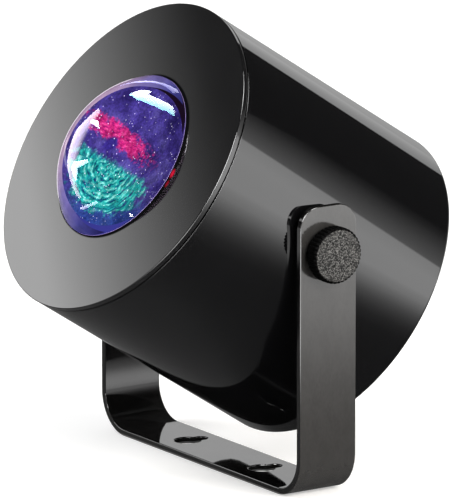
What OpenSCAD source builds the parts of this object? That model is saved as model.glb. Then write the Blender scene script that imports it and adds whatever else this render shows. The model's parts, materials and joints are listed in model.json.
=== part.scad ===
// Small effect light: a round head that tilts in a U bracket, held by two thumb knobs.
// Millimetres. +Z is up, the bracket stands on Z = 0 and the beam leaves towards -Y.

/* [Head] */
// Outside diameter of the head
body_d = 100; // [85:1:120]
// Length of the head from front face to rear edge
body_length = 88.6; // [84:0.2:110]
// Distance from the tilt axis forward to the front face
front_ahead = 44.3; // [38:0.1:55]
// Wall of the housing tube
wall = 2.6; // [1.8:0.1:4]
// Upward tilt of the beam at rest, in degrees
rest_tilt = 33; // [-60:0.5:80]
// Chamfer round the front edges
front_edge = 0.5; // [0.2:0.1:1]
// Chamfer round the rear edge
rear_edge = 1; // [0.3:0.1:2]

/* [Front] */
// Thickness of the front plate
plate_thick = 3; // [2.6:0.1:5]
// Height of the plate's visible rim
rim_thick = 1.7; // [1:0.1:2.2]
// Width of the shadow seam behind the rim
seam_gap = 0.4; // [0.2:0.1:0.8]
// Depth of the shadow seam
seam_depth = 0.9; // [0.4:0.1:1.5]
// Length of the spigot inside the tube
spigot_length = 5; // [3:0.5:8]
// Wall of the spigot
spigot_wall = 2; // [1.2:0.1:3]
// Diameter of the dome lens
lens_d = 52.4; // [46:0.2:60]
// Height of the dome in front of the plate
dome_sag = 14.4; // [8:0.1:20]
// Width of the lens flange behind the plate
flange_lip = 2.3; // [1.5:0.1:4]
// Thickness of the lens flange
flange_thick = 2.6; // [1.6:0.1:4]
// Thickness of the lens retaining ring
ring_thick = 2; // [1.4:0.1:3]

/* [Effect wheel] */
// Gear module
gear_module = 1; // [0.9:0.05:1.1]
// Teeth on the motor pinion
pinion_teeth = 12; // [12:1:14]
// Face width of the wheel's teeth
gear_face = 5; // [4:0.5:7]
// Room left between the pinion and the housing
pinion_room = 3; // [2:0.5:6]
// Wall between the tooth roots and the glass
wheel_wall = 1.2; // [1:0.1:2]
// Shoulder that carries the glass
glass_shoulder = 2; // [1.5:0.1:3]
// Thickness of the patterned glass
glass_thick = 2.5; // [1.5:0.1:3.5]
// Diameter of the raised patterned field on the glass
field_d = 35; // [24:0.5:40]
// Wall of the wheel's neck
neck_wall = 2.4; // [1.8:0.1:3]
// Width of the clip that holds the neck
clip_width = 1.6; // [1.2:0.1:2]
// Thickness of the clip
clip_thick = 1.4; // [1:0.1:2]
// Thickness of the optics frame
frame_thick = 3; // [2:0.1:5]
// Diameter of the motor shaft
shaft_d = 3; // [2:0.1:3.4]

/* [Gear motor] */
// Width of the motor
motor_w = 12; // [10:0.5:14]
// Depth of the motor
motor_depth = 10; // [8:0.5:10.5]
// Length of the gearbox
gearbox_length = 9; // [7:0.5:11]
// Length of the motor can
can_length = 12; // [9:0.5:14]
// Wall of the motor clamp
clamp_wall = 2; // [1.5:0.1:3]

/* [Light engine] */
// Width across the flats of the standoffs
standoff_af = 6; // [5:0.5:7]
// Thickness of the heat sink's base
sink_base = 4; // [3:0.5:6]
// Height of the fins
fin_height = 13; // [8:0.5:15]
// Thickness of a fin
fin_thick = 1.4; // [1:0.1:2]
// Distance between fins
fin_pitch = 4.4; // [3.5:0.1:6]
// Diameter of the LED board
led_board_d = 32; // [28:0.5:34]
// Thickness of both circuit boards
board_thick = 1.6; // [1:0.1:2]
// Gap round the motor in the heat sink's base
motor_room = 1.5; // [1:0.1:2]
// Diameter of the leads
lead_d = 2.2; // [1.6:0.1:2.4]
// Edge of one emitter
emitter_w = 3.4; // [2.5:0.1:3.6]
// Height of an emitter's base
emitter_base = 0.9; // [0.6:0.1:1.2]
// Height of an emitter with its dome
emitter_h = 1.6; // [1.3:0.1:2]
// Width of an emitter's base round its dome
emitter_step = 0.4; // [0.2:0.1:0.6]
// Distance between emitters
emitter_gap = 4.4; // [4:0.1:4.8]
// Height of the collimator holder
holder_h = 15; // [12:0.5:16]
// Wall of the collimator holder
holder_wall = 2.2; // [1.5:0.1:3]
// Width of the holder's foot
holder_foot = 6; // [5:0.5:7]
// Thickness of the holder's foot
foot_thick = 2; // [1.5:0.1:3]
// Width of the collimator's lip
optic_lip = 0.8; // [0.5:0.1:1]
// Thickness of the collimator's lip
lip_thick = 1.6; // [1:0.1:2]
// Width of the shoulder that the lip lies on
lip_seat = 0.6; // [0.4:0.1:1]
// Wall of the collimator's foot
optic_foot = 2; // [1.5:0.1:2.5]
// Height of the collimator's well at its wall
well_h = 4; // [3:0.1:5]
// Height of the collimator's well at its middle
well_crown = 6; // [5:0.1:7]
// Depth of the holes for the holder's screws
pilot_depth = 3; // [2.4:0.1:3.4]

/* [Rear] */
// Thickness of the rear cover
cover_thick = 2.5; // [2:0.1:4]
// Depth of the cover behind the tube's edge
cover_recess = 2; // [1.8:0.1:4]
// Width of the driver board
driver_w = 50; // [44:1:54]
// Height of the driver board
driver_h = 34; // [30:1:36]
// Distance of the driver board's middle below the beam axis
driver_drop = 16; // [14:0.5:17]
// Room between the driver board and the rear cover
driver_room = 8; // [7:0.5:10]
// Distance of the driver board's screws from its edges
driver_inset = 3.5; // [3:0.1:4]
// Diameter of the posts that carry the driver board
post_d = 5.6; // [5:0.1:6]
// Distance of the LED lead's end from the driver board's edges
lead_inset = 8; // [7:0.5:9]
// Height of the LED lead's last bend above the driver board
lead_rise = 4; // [3:0.5:6]
// Distance of the motor lead's end from the driver board's edge
motor_lead_inset = 3; // [2:0.5:4]
// Height of the tallest part on the driver board
parts_height = 8; // [6:0.5:9]
// Diameter of the large capacitor
capacitor_d = 8; // [6:0.5:10]
// Diameter of the small capacitor
small_capacitor_d = 6; // [4:0.5:6.5]
// Height of the small capacitor below the large one's
capacitor_step = 2; // [1:0.5:3]
// Side of the square choke
choke_w = 8; // [6:0.5:9]
// Height of the choke
choke_h = 4; // [3:0.5:5]
// Side of the control chip
chip_w = 7; // [5:0.5:8]
// Height of the control chip
chip_h = 1.2; // [0.8:0.1:2]
// Width of the lead connector
plug_w = 6; // [5:0.5:8]
// Depth of the lead connector
plug_depth = 4.5; // [4:0.5:5.5]
// Height of the lead connector
plug_h = 3; // [2:0.5:4]
// Distance of socket and button to each side of the middle
control_side = 12; // [10:0.5:14]
// Distance of socket and button below the beam axis
control_drop = 23; // [21:0.5:25]
// Diameter of the DC socket's nose
socket_d = 8; // [7:0.1:9]
// Bore of the DC socket
socket_bore = 6; // [5.4:0.1:6.4]
// Diameter of the DC socket's pin
pin_d = 2; // [1.6:0.1:2.5]
// Height of the DC socket's nose behind the cover
socket_lip = 0.8; // [0.4:0.1:1.2]
// Width of the DC socket's block round its nose
socket_block = 0.7; // [0.4:0.1:1]
// Thickness of the DC socket's floor
socket_floor = 2.4; // [1.5:0.1:3]
// Width of the touch switch
switch_w = 6.4; // [6:0.1:7]
// Height of the touch switch
switch_h = 4; // [3.5:0.1:4.5]
// Depth of the touch switch's well
switch_well = 2.6; // [2:0.1:3]
// Diameter of the button
button_d = 8; // [6:0.1:10]
// Height of the button behind the cover
button_proud = 1.7; // [1.3:0.1:2.5]
// Bevel of the button's edge
button_edge = 0.5; // [0.3:0.1:0.8]
// Width and thickness of the button's flange
button_flange = 1; // [0.8:0.1:1.2]
// Gap between the button's flange and the cover
button_gap = 0.3; // [0.2:0.1:0.5]
// Diameter of the button's stem
stem_d = 3.4; // [3:0.1:3.8]
// Depth of the stem in the touch switch
stem_entry = 0.7; // [0.5:0.1:1]
// Travel of the button
button_travel = 1; // [0.5:0.1:1.2]
// Width of a vent slot
vent_w = 2.6; // [2:0.1:3]
// Distance between vent slots
vent_pitch = 6; // [5:0.1:7]
// Wall between the vent slots and the screw bosses
vent_margin = 2; // [1:0.1:3]
// Distance of the vent slots above the driver board
vent_above = 3; // [2:0.1:5]
// Vent slots on each side of the middle
vent_pairs = 4; // [2:1:4]

/* [Tilt pivots] */
// Diameter of the housing's pivot boss
pivot_boss_d = 15; // [13:0.5:18]
// Rise of the pivot boss from the housing
pivot_rise = 0.6; // [0.4:0.1:2]
// Depth of the pivot boss inside the housing
pivot_depth = 10; // [9:0.5:12]
// Thickness of the boss wall outside the insert
insert_cover = 1.8; // [1:0.1:3]
// Outside diameter of the brass insert
insert_d = 9; // [8:0.1:10]
// Length of the brass insert
insert_length = 8; // [6:0.5:9]
// Diameter of the knob's stud
stud_d = 4.9; // [4:0.1:6]
// Thickness of the friction washer
friction_thick = 1; // [0.8:0.05:2]
// Thickness of the washer below the knob
washer_thick = 0.6; // [0.4:0.1:2]
// Diameter of the washer below the knob
washer_d = 13; // [11:0.5:16]
// Diameter of the knob
knob_d = 17; // [14:0.5:22]
// Height of the knob
knob_h = 4.6; // [4:0.1:10]
// Chamfer on the knob's edges
knob_edge = 1.1; // [0.4:0.1:1.5]
// Grooves round the knob
knob_grooves = 40; // [24:2:48]
// Depth of a groove
groove_depth = 0.45; // [0.3:0.05:0.6]
// Depth of the stud inside the knob
stud_seat = 3; // [2:0.1:6]

/* [Bracket] */
// Width of the bracket strap
strap_w = 19.9; // [17:0.1:26]
// Thickness of the bracket strap
strap_t = 2; // [1.5:0.1:3]
// Inside radius of the two bends
bend_r = 10.4; // [6:0.1:14]
// Room for the head's corner to swing over the base
swing_gap = 5.4; // [3:0.1:20]
// Height of the arm's end above the pivot
arm_crown = 14.2; // [10:0.1:20]
// Radius of the arm's two corners
arm_corner = 6.5; // [3:0.1:8]
// Distance between the two keyholes
keyhole_gap = 40; // [34:1:50]
// Diameter of a keyhole's entry
keyhole_d = 8; // [7:0.1:9]
// Width of a keyhole's slot
keyhole_slot = 4.4; // [3.6:0.1:5]
// Run of a keyhole's slot from the entry's centre
keyhole_run = 4.6; // [4:0.1:5]
// Distance of the entries in front of the strap's middle
keyhole_ahead = 0.8; // [0:0.1:1.5]

/* [Fasteners and fits] */
// Diameter of the screws
screw_d = 2.4; // [2:0.1:2.6]
// Diameter of the screw heads
head_d = 4.4; // [4:0.1:4.8]
// Height of the screw heads
head_h = 1.5; // [1:0.1:1.7]
// Depth that a screw goes into its boss
screw_grip = 6; // [5:0.5:8]
// Radius of the housing's long screw bosses
boss_r = 4; // [3.2:0.1:4.4]
// Gap round pieces that are pushed or glued in
push_fit = 0.04; // [0.02:0.01:0.1]
// Gap round turning shafts and necks
run_fit = 0.06; // [0.03:0.01:0.1]
// Gap to pieces that move past each other
run_gap = 0.6; // [0.4:0.1:1]
// Gap round loose holes
loose_fit = 0.25; // [0.2:0.05:0.4]
// Gap round the leads in their slots
lead_slack = 0.3; // [0.2:0.05:0.5]
// Gap under the tip of a screw
tip_gap = 0.4; // [0.2:0.1:0.6]
// Gap between the clamped faces of the bracket
clamp_gap = 0.05; // [0.02:0.01:0.1]

/* [Hidden] */
$fn = 96;
overlap = 0.4;
flank_steps = 3;
pressure_angle = 20;
boss_angles = [90, 210, 330];
standoff_angles = [45, 135, 225, 315];
lead_angle = 62;

// Depths along the beam axis, from the front face back to the rear cover.
body_r = body_d / 2;
bore_r = body_r - wall;
z_face = front_ahead;
z_rear = front_ahead - body_length;
z_plate = z_face - plate_thick;
z_rim = z_face - rim_thick;
z_tube = z_rim - seam_gap;
z_spigot = z_plate - spigot_length;
z_lens = z_plate - flange_thick;
z_ring = z_lens - ring_thick;
z_wheel_front = z_ring - head_h - run_gap;
z_wheel_back = z_wheel_front - gear_face;
z_frame_front = z_wheel_back - run_gap;
z_frame = z_frame_front - frame_thick;
z_clip_front = z_frame - run_gap;
z_clip = z_clip_front - clip_thick;
z_cover = z_rear + cover_recess;
z_cover_in = z_cover + cover_thick;
z_driver = z_cover_in + driver_room;
z_driver_front = z_driver + board_thick;
z_fins = z_driver_front + parts_height + 2;
z_sink = z_fins + fin_height;
z_sink_front = z_sink + sink_base;
z_motor = z_frame - gearbox_length - can_length;

// The wheel takes the largest tooth count, in sixes, that leaves the pinion its room.
pinion_r = gear_module * pinion_teeth / 2;
wheel_teeth = 6 * floor(((bore_r - pinion_room) / gear_module - pinion_teeth - 1) / 3);
wheel_r = gear_module * wheel_teeth / 2;
wheel_add = 0.75 * gear_module;
pinion_add = gear_module;
wheel_ded = 1.2 * gear_module;
pinion_ded = gear_module;
tooth_slack = 0.12;
gear_centres = wheel_r + pinion_r + 0.05;
glass_r = wheel_r - wheel_ded - wheel_wall;
neck_bore_r = glass_r - glass_shoulder;
neck_r = neck_bore_r + neck_wall;
clip_r = neck_r + clip_width;

// Radii across the beam axis.
lens_r = lens_d / 2;
lens_hole_r = lens_r + push_fit;
flange_r = lens_r + flange_lip;
dome_r = (lens_r * lens_r + dome_sag * dome_sag) / (2 * dome_sag);
ring_boss_r = head_d / 2 + 1;
ring_screw_r = flange_r + push_fit + ring_boss_r;
ring_r = ring_screw_r + ring_boss_r;
boss_ring_r = bore_r - boss_r + 0.5;
frame_r = bore_r - run_gap / 2;
standoff_r = max(wheel_r + wheel_add + run_gap + head_d / 2, clip_r + run_gap + standoff_af * 0.58);
hole_d = screw_d + 2 * loose_fit;
pilot_d = screw_d + 2 * push_fit;
pivot_in = body_r - pivot_depth;
sink_r = min(pivot_in - 1, boss_ring_r - boss_r - 0.8);
fin_r = standoff_r - head_d / 2 - 1.5;
led_board_r = led_board_d / 2;
holder_r = led_board_r + holder_wall;
holder_screw_r = holder_r + holder_foot / 2;
optic_r = led_board_r - 1;
clamp_ear = head_d + 1.6;
clamp_screw_x = motor_w / 2 + clamp_wall + clamp_ear / 2;
clamp_length = gearbox_length - 1.5;
ear_thick = 2.5;

// The bracket follows the head's width and the circle that its corners sweep.
pivot_pad_x = body_r + pivot_rise;
arm_in_x = pivot_pad_x + friction_thick + clamp_gap;
arm_out_x = arm_in_x + strap_t;
washer_x = arm_out_x + clamp_gap;
knob_x = washer_x + washer_thick;
insert_x = pivot_pad_x - insert_cover - insert_length;
stud_in_x = insert_x + 1;
swing_r = sqrt(body_r * body_r + max(front_ahead, -z_rear) * max(front_ahead, -z_rear));
pivot_height = strap_t + swing_gap + swing_r;
bend_out_r = bend_r + strap_t;

// Head coordinates: the tilt axis is X and the beam leaves along +Z.
module in_head() {
    translate([0, 0, pivot_height])
        rotate([90 - rest_tilt, 0, 0])
            children();
}

// Pivot coordinates: Z runs outward along the tilt axis, side is 1 or -1.
module on_pivot(side, x) {
    translate([0, 0, pivot_height])
        rotate([0, side * 90, 0])
            translate([0, 0, x])
                children();
}

module around(angles, radius) {
    for (a = angles)
        rotate(a)
            translate([radius, 0, 0])
                children();
}

module ring_of(outer, inner, height) {
    difference() {
        cylinder(r = outer, h = height);
        translate([0, 0, -1])
            cylinder(r = inner, h = height + 2);
    }
}

// A pan-head screw with its seat at Z = 0 and its shank along -Z.
module screw(shank) {
    cylinder(d = head_d, h = head_h);
    translate([0, 0, -shank])
        cylinder(d = screw_d, h = shank + overlap);
}

module slot_2d(length, width) {
    run = length - width;
    square([width, run], center = true);
    for (end = [-1, 1])
        translate([0, end * run / 2])
            circle(d = width);
}

// Involute teeth: half the angle of a tooth at radius r falls from root to tip.
function involute_deg(rb, r) = tan(acos(min(1, rb / r))) * 180 / PI - acos(min(1, rb / r));
function half_tooth(teeth, rp, rb, r) = 90 / teeth - tooth_slack * 90 / PI / rp
    + involute_deg(rb, rp) - involute_deg(rb, r);
function polar(r, a) = [r * cos(a), r * sin(a)];

module gear_2d(teeth, add, ded) {
    rp = gear_module * teeth / 2;
    rb = rp * cos(pressure_angle);
    root = rp - ded;
    start = max(rb, root);
    steps = [for (i = [0 : flank_steps]) start + (rp + add - start) * i / flank_steps];
    radii = root < rb - 0.01 ? concat([root], steps) : steps;
    last = len(radii) - 1;
    polygon([for (k = [0 : teeth - 1])
        each concat(
            [for (i = [0 : last]) polar(radii[i], 360 * k / teeth - half_tooth(teeth, rp, rb, radii[i]))],
            [for (i = [last : -1 : 0])
                polar(radii[i], 360 * k / teeth + half_tooth(teeth, rp, rb, radii[i]))])]);
}

// A round lead through its points, with a slightly larger ball at each bend.
module lead(points) {
    for (i = [1 : len(points) - 1]) {
        step = points[i] - points[i - 1];
        flat = norm([step[0], step[1]]);
        translate(points[i - 1])
            rotate([0, atan2(flat, step[2]), atan2(step[1], step[0])])
                cylinder(d = lead_d, h = norm(step), $fn = 24);
        if (i < len(points) - 1)
            translate(points[i])
                sphere(d = lead_d * 1.06, $fn = 24);
    }
}

module keyhole() {
    translate([0, 0, -1]) {
        cylinder(d = keyhole_d, h = strap_t + 2);
        translate([-keyhole_slot / 2, 0, 0])
            cube([keyhole_slot, keyhole_run, strap_t + 2]);
        translate([0, keyhole_run, 0])
            cylinder(d = keyhole_slot, h = strap_t + 2);
    }
}

module bracket_half() {
    arm_top = pivot_height + arm_crown;
    corner_y = strap_w / 2 - arm_corner;
    translate([0, -strap_w / 2, 0])
        cube([arm_out_x - bend_out_r, strap_w, strap_t]);
    translate([arm_out_x - bend_out_r, 0, bend_out_r])
        rotate([90, 0, 0])
            rotate(-90)
                rotate_extrude(angle = 90)
                    translate([bend_r, -strap_w / 2])
                        square([strap_t, strap_w]);
    translate([arm_in_x, -strap_w / 2, bend_out_r])
        cube([strap_t, strap_w, arm_top - arm_corner - bend_out_r]);
    translate([arm_in_x, -corner_y, arm_top - arm_corner - overlap])
        cube([strap_t, 2 * corner_y, arm_corner + overlap]);
    for (y = [-corner_y, corner_y])
        translate([arm_in_x, y, arm_top - arm_corner])
            rotate([0, 90, 0])
                cylinder(r = arm_corner, h = strap_t);
}

module u_bracket() {
    color("#2b2b2d")
        difference() {
            union() {
                bracket_half();
                mirror([1, 0, 0])
                    bracket_half();
            }
            for (side = [-1, 1]) {
                on_pivot(side, arm_in_x - 1)
                    cylinder(d = stud_d + 2 * loose_fit, h = strap_t + 2);
                translate([side * keyhole_gap / 2, -keyhole_ahead, 0])
                    keyhole();
            }
        }
}

module tube_shell() {
    rotate_extrude()
        polygon([[bore_r, z_rear], [body_r - rear_edge, z_rear], [body_r, z_rear + rear_edge],
            [body_r, z_tube - front_edge], [body_r - front_edge, z_tube], [bore_r, z_tube]]);
}

module housing() {
    color("#15161a")
        in_head()
            difference() {
                union() {
                    tube_shell();
                    translate([0, 0, z_cover_in])
                        around(boss_angles, boss_ring_r)
                            cylinder(r = boss_r, h = z_frame - z_cover_in);
                    for (side = [-1, 1])
                        rotate([0, side * 90, 0])
                            translate([0, 0, pivot_in])
                                cylinder(d = pivot_boss_d, h = pivot_pad_x - pivot_in);
                }
                around(boss_angles, boss_ring_r) {
                    translate([0, 0, z_frame - screw_grip - 1])
                        cylinder(d = pilot_d, h = screw_grip + 2);
                    translate([0, 0, z_cover_in - 1])
                        cylinder(d = pilot_d, h = screw_grip + 2);
                }
                for (side = [-1, 1])
                    rotate([0, side * 90, 0]) {
                        translate([0, 0, pivot_in - 1])
                            cylinder(d = insert_d + 2 * push_fit, h = insert_x + insert_length - pivot_in + 1);
                        translate([0, 0, pivot_in])
                            cylinder(d = stud_d + 2 * loose_fit, h = pivot_depth + pivot_rise + 1);
                    }
            }
}

module front_plate() {
    spigot_r = bore_r - push_fit;
    color("#202126")
        in_head()
            difference() {
                union() {
                    rotate_extrude()
                        polygon([[lens_hole_r, z_plate], [lens_hole_r, z_face], [body_r - front_edge, z_face],
                            [body_r, z_face - front_edge], [body_r, z_rim], [body_r - seam_depth, z_rim],
                            [body_r - seam_depth, z_tube], [spigot_r, z_tube], [spigot_r, z_spigot],
                            [spigot_r - spigot_wall, z_spigot], [spigot_r - spigot_wall, z_plate]]);
                    translate([0, 0, z_lens])
                        around(boss_angles, ring_screw_r)
                            cylinder(r = ring_boss_r, h = flange_thick + overlap);
                }
                translate([0, 0, z_lens - 1])
                    around(boss_angles, ring_screw_r)
                        cylinder(d = pilot_d, h = flange_thick + plate_thick / 2 + 1);
            }
}

module front_lens() {
    color("#8a7fd0")
        in_head() {
            translate([0, 0, z_lens])
                cylinder(r = flange_r, h = flange_thick);
            translate([0, 0, z_lens])
                cylinder(r = lens_r, h = flange_thick + plate_thick);
            intersection() {
                translate([0, 0, z_face + dome_sag - dome_r])
                    sphere(r = dome_r);
                translate([0, 0, z_face])
                    cylinder(r = lens_r + 1, h = dome_sag + 1);
            }
        }
}

module lens_ring() {
    color("#3a3b40")
        in_head()
            translate([0, 0, z_ring])
                difference() {
                    ring_of(ring_r, lens_r - 1, ring_thick);
                    translate([0, 0, -1])
                        around(boss_angles, ring_screw_r)
                            cylinder(d = hole_d, h = ring_thick + 2);
                }
}

module lens_ring_screws() {
    color("#b9bcc2")
        in_head()
            translate([0, 0, z_ring])
                around(boss_angles, ring_screw_r)
                    mirror([0, 0, 1])
                        screw(ring_thick + flange_thick + plate_thick / 2 - tip_gap);
}

module effect_wheel() {
    color("#e4e2da")
        in_head()
            difference() {
                union() {
                    translate([0, 0, z_wheel_back])
                        linear_extrude(gear_face)
                            gear_2d(wheel_teeth, wheel_add, wheel_ded);
                    translate([0, 0, z_clip])
                        cylinder(r = neck_r, h = z_wheel_back - z_clip + overlap);
                }
                translate([0, 0, z_clip - 1])
                    cylinder(r = neck_bore_r, h = z_wheel_front - z_clip + 2);
                translate([0, 0, z_wheel_front - glass_thick])
                    cylinder(r = glass_r, h = glass_thick + 1);
            }
}

module effect_glass() {
    color("#b56ad6")
        in_head()
            translate([0, 0, z_wheel_front - glass_thick]) {
                cylinder(r = glass_r - push_fit, h = glass_thick);
                cylinder(d = field_d, h = z_lens - run_gap - z_wheel_front + glass_thick);
            }
}

module wheel_clip() {
    color("#c8a24a")
        in_head()
            translate([0, 0, z_clip])
                ring_of(clip_r, neck_r + push_fit, clip_thick);
}

module optics_frame() {
    color("#4a4d55")
        in_head()
            translate([0, 0, z_frame])
                difference() {
                    ring_of(frame_r, neck_r + run_fit, frame_thick);
                    translate([0, 0, -1]) {
                        around(boss_angles, boss_ring_r)
                            cylinder(d = hole_d, h = frame_thick + 2);
                        around(standoff_angles, standoff_r)
                            cylinder(d = hole_d, h = frame_thick + 2);
                        translate([0, -gear_centres, 0]) {
                            cylinder(d = shaft_d + 2, h = frame_thick + 2);
                            for (side = [-1, 1])
                                translate([side * clamp_screw_x, 0, 0])
                                    cylinder(d = pilot_d, h = frame_thick + 2);
                        }
                    }
                }
}

module frame_screws() {
    color("#b9bcc2")
        in_head()
            translate([0, 0, z_frame_front])
                around(boss_angles, boss_ring_r)
                    screw(frame_thick + screw_grip);
}

module drive_pinion() {
    color("#d8c79a")
        in_head()
            translate([0, -gear_centres, z_wheel_back])
                difference() {
                    linear_extrude(gear_face)
                        rotate(90 + 180 / pinion_teeth)
                            gear_2d(pinion_teeth, pinion_add, pinion_ded);
                    translate([0, 0, -1])
                        cylinder(d = shaft_d + 2 * push_fit, h = gear_face + 2);
                }
}

module motor_shaft() {
    color("#c4c7cc")
        in_head()
            translate([0, -gear_centres, z_frame - gearbox_length + 1])
                cylinder(d = shaft_d, h = z_wheel_front - z_frame + gearbox_length - 1);
}

module gear_motor() {
    color("#b08d57")
        in_head()
            translate([0, -gear_centres, 0])
                difference() {
                    union() {
                        translate([-motor_w / 2, -motor_depth / 2, z_frame - gearbox_length])
                            cube([motor_w, motor_depth, gearbox_length]);
                        intersection() {
                            translate([0, 0, z_motor])
                                cylinder(d = motor_w, h = can_length + overlap);
                            translate([-motor_w / 2, -motor_depth / 2, z_motor])
                                cube([motor_w, motor_depth, can_length + overlap]);
                        }
                    }
                    translate([0, 0, z_frame - gearbox_length + 0.6])
                        cylinder(d = shaft_d + 2 * run_fit, h = gearbox_length);
                }
}

// A saddle round three sides of the gearbox, open towards the wheel.
module motor_clamp() {
    saddle_w = motor_w + 2 * (clamp_wall + push_fit);
    color("#24252a")
        in_head()
            translate([0, -gear_centres, z_frame])
                difference() {
                    union() {
                        translate([-saddle_w / 2, -motor_depth / 2 - clamp_wall, -clamp_length])
                            cube([saddle_w, motor_depth + clamp_wall, clamp_length]);
                        translate([-saddle_w / 2 - clamp_ear, -motor_depth / 2, -ear_thick])
                            cube([saddle_w + 2 * clamp_ear, motor_depth, ear_thick]);
                    }
                    translate([-motor_w / 2 - push_fit, -motor_depth / 2 - push_fit, -clamp_length - 1])
                        cube([motor_w + 2 * push_fit, motor_depth + 2, clamp_length + 2]);
                    for (side = [-1, 1])
                        translate([side * clamp_screw_x, 0, -ear_thick - 1])
                            cylinder(d = hole_d, h = ear_thick + 2);
                }
}

module clamp_screws() {
    color("#b9bcc2")
        in_head()
            translate([0, -gear_centres, z_frame - ear_thick])
                for (side = [-1, 1])
                    translate([side * clamp_screw_x, 0, 0])
                        mirror([0, 0, 1])
                            screw(ear_thick + frame_thick - tip_gap);
}

module standoffs() {
    color("#d2b15c")
        in_head()
            translate([0, 0, z_sink_front])
                around(standoff_angles, standoff_r)
                    difference() {
                        cylinder(d = standoff_af / cos(30), h = z_frame - z_sink_front, $fn = 6);
                        translate([0, 0, -1])
                            cylinder(d = pilot_d, h = z_frame - z_sink_front + 2);
                    }
}

module standoff_screws() {
    color("#b9bcc2")
        in_head()
            translate([0, 0, z_frame_front])
                around(standoff_angles, standoff_r)
                    screw(frame_thick + screw_grip);
}

// The base is cut away where the motor and the LED lead pass.
module heat_sink() {
    fins = floor((fin_r - fin_thick) / fin_pitch);
    color("#a9adb3")
        in_head()
            difference() {
                union() {
                    translate([0, 0, z_sink])
                        cylinder(r = sink_r, h = sink_base);
                    for (i = [-fins : fins]) {
                        half = sqrt(fin_r * fin_r - i * i * fin_pitch * fin_pitch);
                        translate([i * fin_pitch - fin_thick / 2, -half, z_fins])
                            cube([fin_thick, 2 * half, fin_height + overlap]);
                    }
                }
                translate([-motor_w / 2 - motor_room, -sink_r - 1, z_sink - 1])
                    cube([motor_w + 2 * motor_room, sink_r + 1 - gear_centres + motor_depth / 2 + motor_room,
                        sink_base + 2]);
                rotate(lead_angle)
                    translate([sink_r - lead_d - 1, -lead_d / 2 - lead_slack, z_sink - 1])
                        cube([lead_d + 2, lead_d + 2 * lead_slack, sink_base + 2]);
                translate([0, 0, z_sink - 1])
                    around(standoff_angles, standoff_r)
                        cylinder(d = hole_d, h = sink_base + 2);
                translate([0, 0, z_sink_front - pilot_depth])
                    around(boss_angles, holder_screw_r)
                        cylinder(d = pilot_d, h = pilot_depth + 1);
            }
}

module sink_screws() {
    color("#b9bcc2")
        in_head()
            translate([0, 0, z_sink])
                around(standoff_angles, standoff_r)
                    mirror([0, 0, 1])
                        screw(sink_base + screw_grip);
}

module led_board() {
    color("#e9ece8")
        in_head()
            translate([0, 0, z_sink_front])
                cylinder(r = led_board_r, h = board_thick);
}

module led_emitters() {
    color("#f0d64a")
        in_head()
            translate([0, 0, z_sink_front + board_thick])
                for (x = [-1, 1], y = [-1, 1])
                    translate([x * emitter_gap / 2, y * emitter_gap / 2, 0]) {
                        translate([-emitter_w / 2, -emitter_w / 2, 0])
                            cube([emitter_w, emitter_w, emitter_base]);
                        cylinder(d = emitter_w - 2 * emitter_step, h = emitter_h);
                    }
}

module collimator() {
    foot_r = (emitter_gap + emitter_w) / 2 * sqrt(2) + loose_fit;
    z_foot = z_sink_front + board_thick;
    z_top = z_sink_front + holder_h;
    color("#cfe3ea")
        in_head()
            rotate_extrude()
                polygon([[0, z_foot + well_crown], [foot_r, z_foot + well_h], [foot_r, z_foot],
                    [foot_r + optic_foot, z_foot], [optic_r - lip_seat, z_top - lip_thick],
                    [optic_r + optic_lip, z_top - lip_thick], [optic_r + optic_lip, z_top], [0, z_top]]);
}

module collimator_holder() {
    z_ledge = z_sink_front + board_thick;
    z_top = z_sink_front + holder_h;
    color("#2e3036")
        in_head()
            difference() {
                rotate_extrude()
                    polygon([[led_board_r + push_fit, z_sink_front], [holder_r + holder_foot, z_sink_front],
                        [holder_r + holder_foot, z_sink_front + foot_thick],
                        [holder_r, z_sink_front + foot_thick],
                        [holder_r, z_top], [optic_r + optic_lip + push_fit, z_top],
                        [optic_r + optic_lip + push_fit, z_top - lip_thick],
                        [optic_r - lip_seat + push_fit, z_top - lip_thick],
                        [optic_r - lip_seat + push_fit, z_ledge], [led_board_r + push_fit, z_ledge]]);
                translate([0, 0, z_sink_front - 1])
                    around(boss_angles, holder_screw_r)
                        cylinder(d = hole_d, h = foot_thick + 2);
                rotate(lead_angle)
                    translate([led_board_r - 3, -lead_d / 2 - lead_slack, z_ledge - lead_slack])
                        cube([holder_foot + holder_wall + 5, lead_d + 2 * lead_slack,
                            lead_d + 2 * lead_slack]);
            }
}

module holder_screws() {
    color("#b9bcc2")
        in_head()
            translate([0, 0, z_sink_front + foot_thick])
                around(boss_angles, holder_screw_r)
                    screw(foot_thick + pilot_depth - tip_gap);
}

module at_driver_corners() {
    for (x = [-1, 1], y = [-1, 1])
        translate([x * (driver_w / 2 - driver_inset), y * (driver_h / 2 - driver_inset) - driver_drop, 0])
            children();
}

module driver_board() {
    color("#1f6b46")
        in_head()
            difference() {
                translate([-driver_w / 2, -driver_h / 2 - driver_drop, z_driver])
                    cube([driver_w, driver_h, board_thick]);
                translate([0, 0, z_driver - 1])
                    at_driver_corners()
                        cylinder(d = hole_d, h = board_thick + 2);
            }
}

module driver_parts() {
    color("#34363c")
        in_head()
            translate([0, -driver_drop, z_driver_front]) {
                translate([-driver_w / 4, 0, 0])
                    cylinder(d = capacitor_d, h = parts_height);
                translate([-driver_w / 4, -driver_h / 4 - 1, 0])
                    cylinder(d = small_capacitor_d, h = parts_height - capacitor_step);
                translate([-chip_w / 2, -chip_w / 2, 0])
                    cube([chip_w, chip_w, chip_h]);
                translate([driver_w / 4 - choke_w / 2, 0, 0])
                    cube([choke_w, choke_w, choke_h]);
                translate([driver_w / 4 - plug_w / 2, -driver_h / 4 - plug_depth / 2, 0])
                    cube([plug_w, plug_depth, plug_h]);
            }
}

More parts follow.
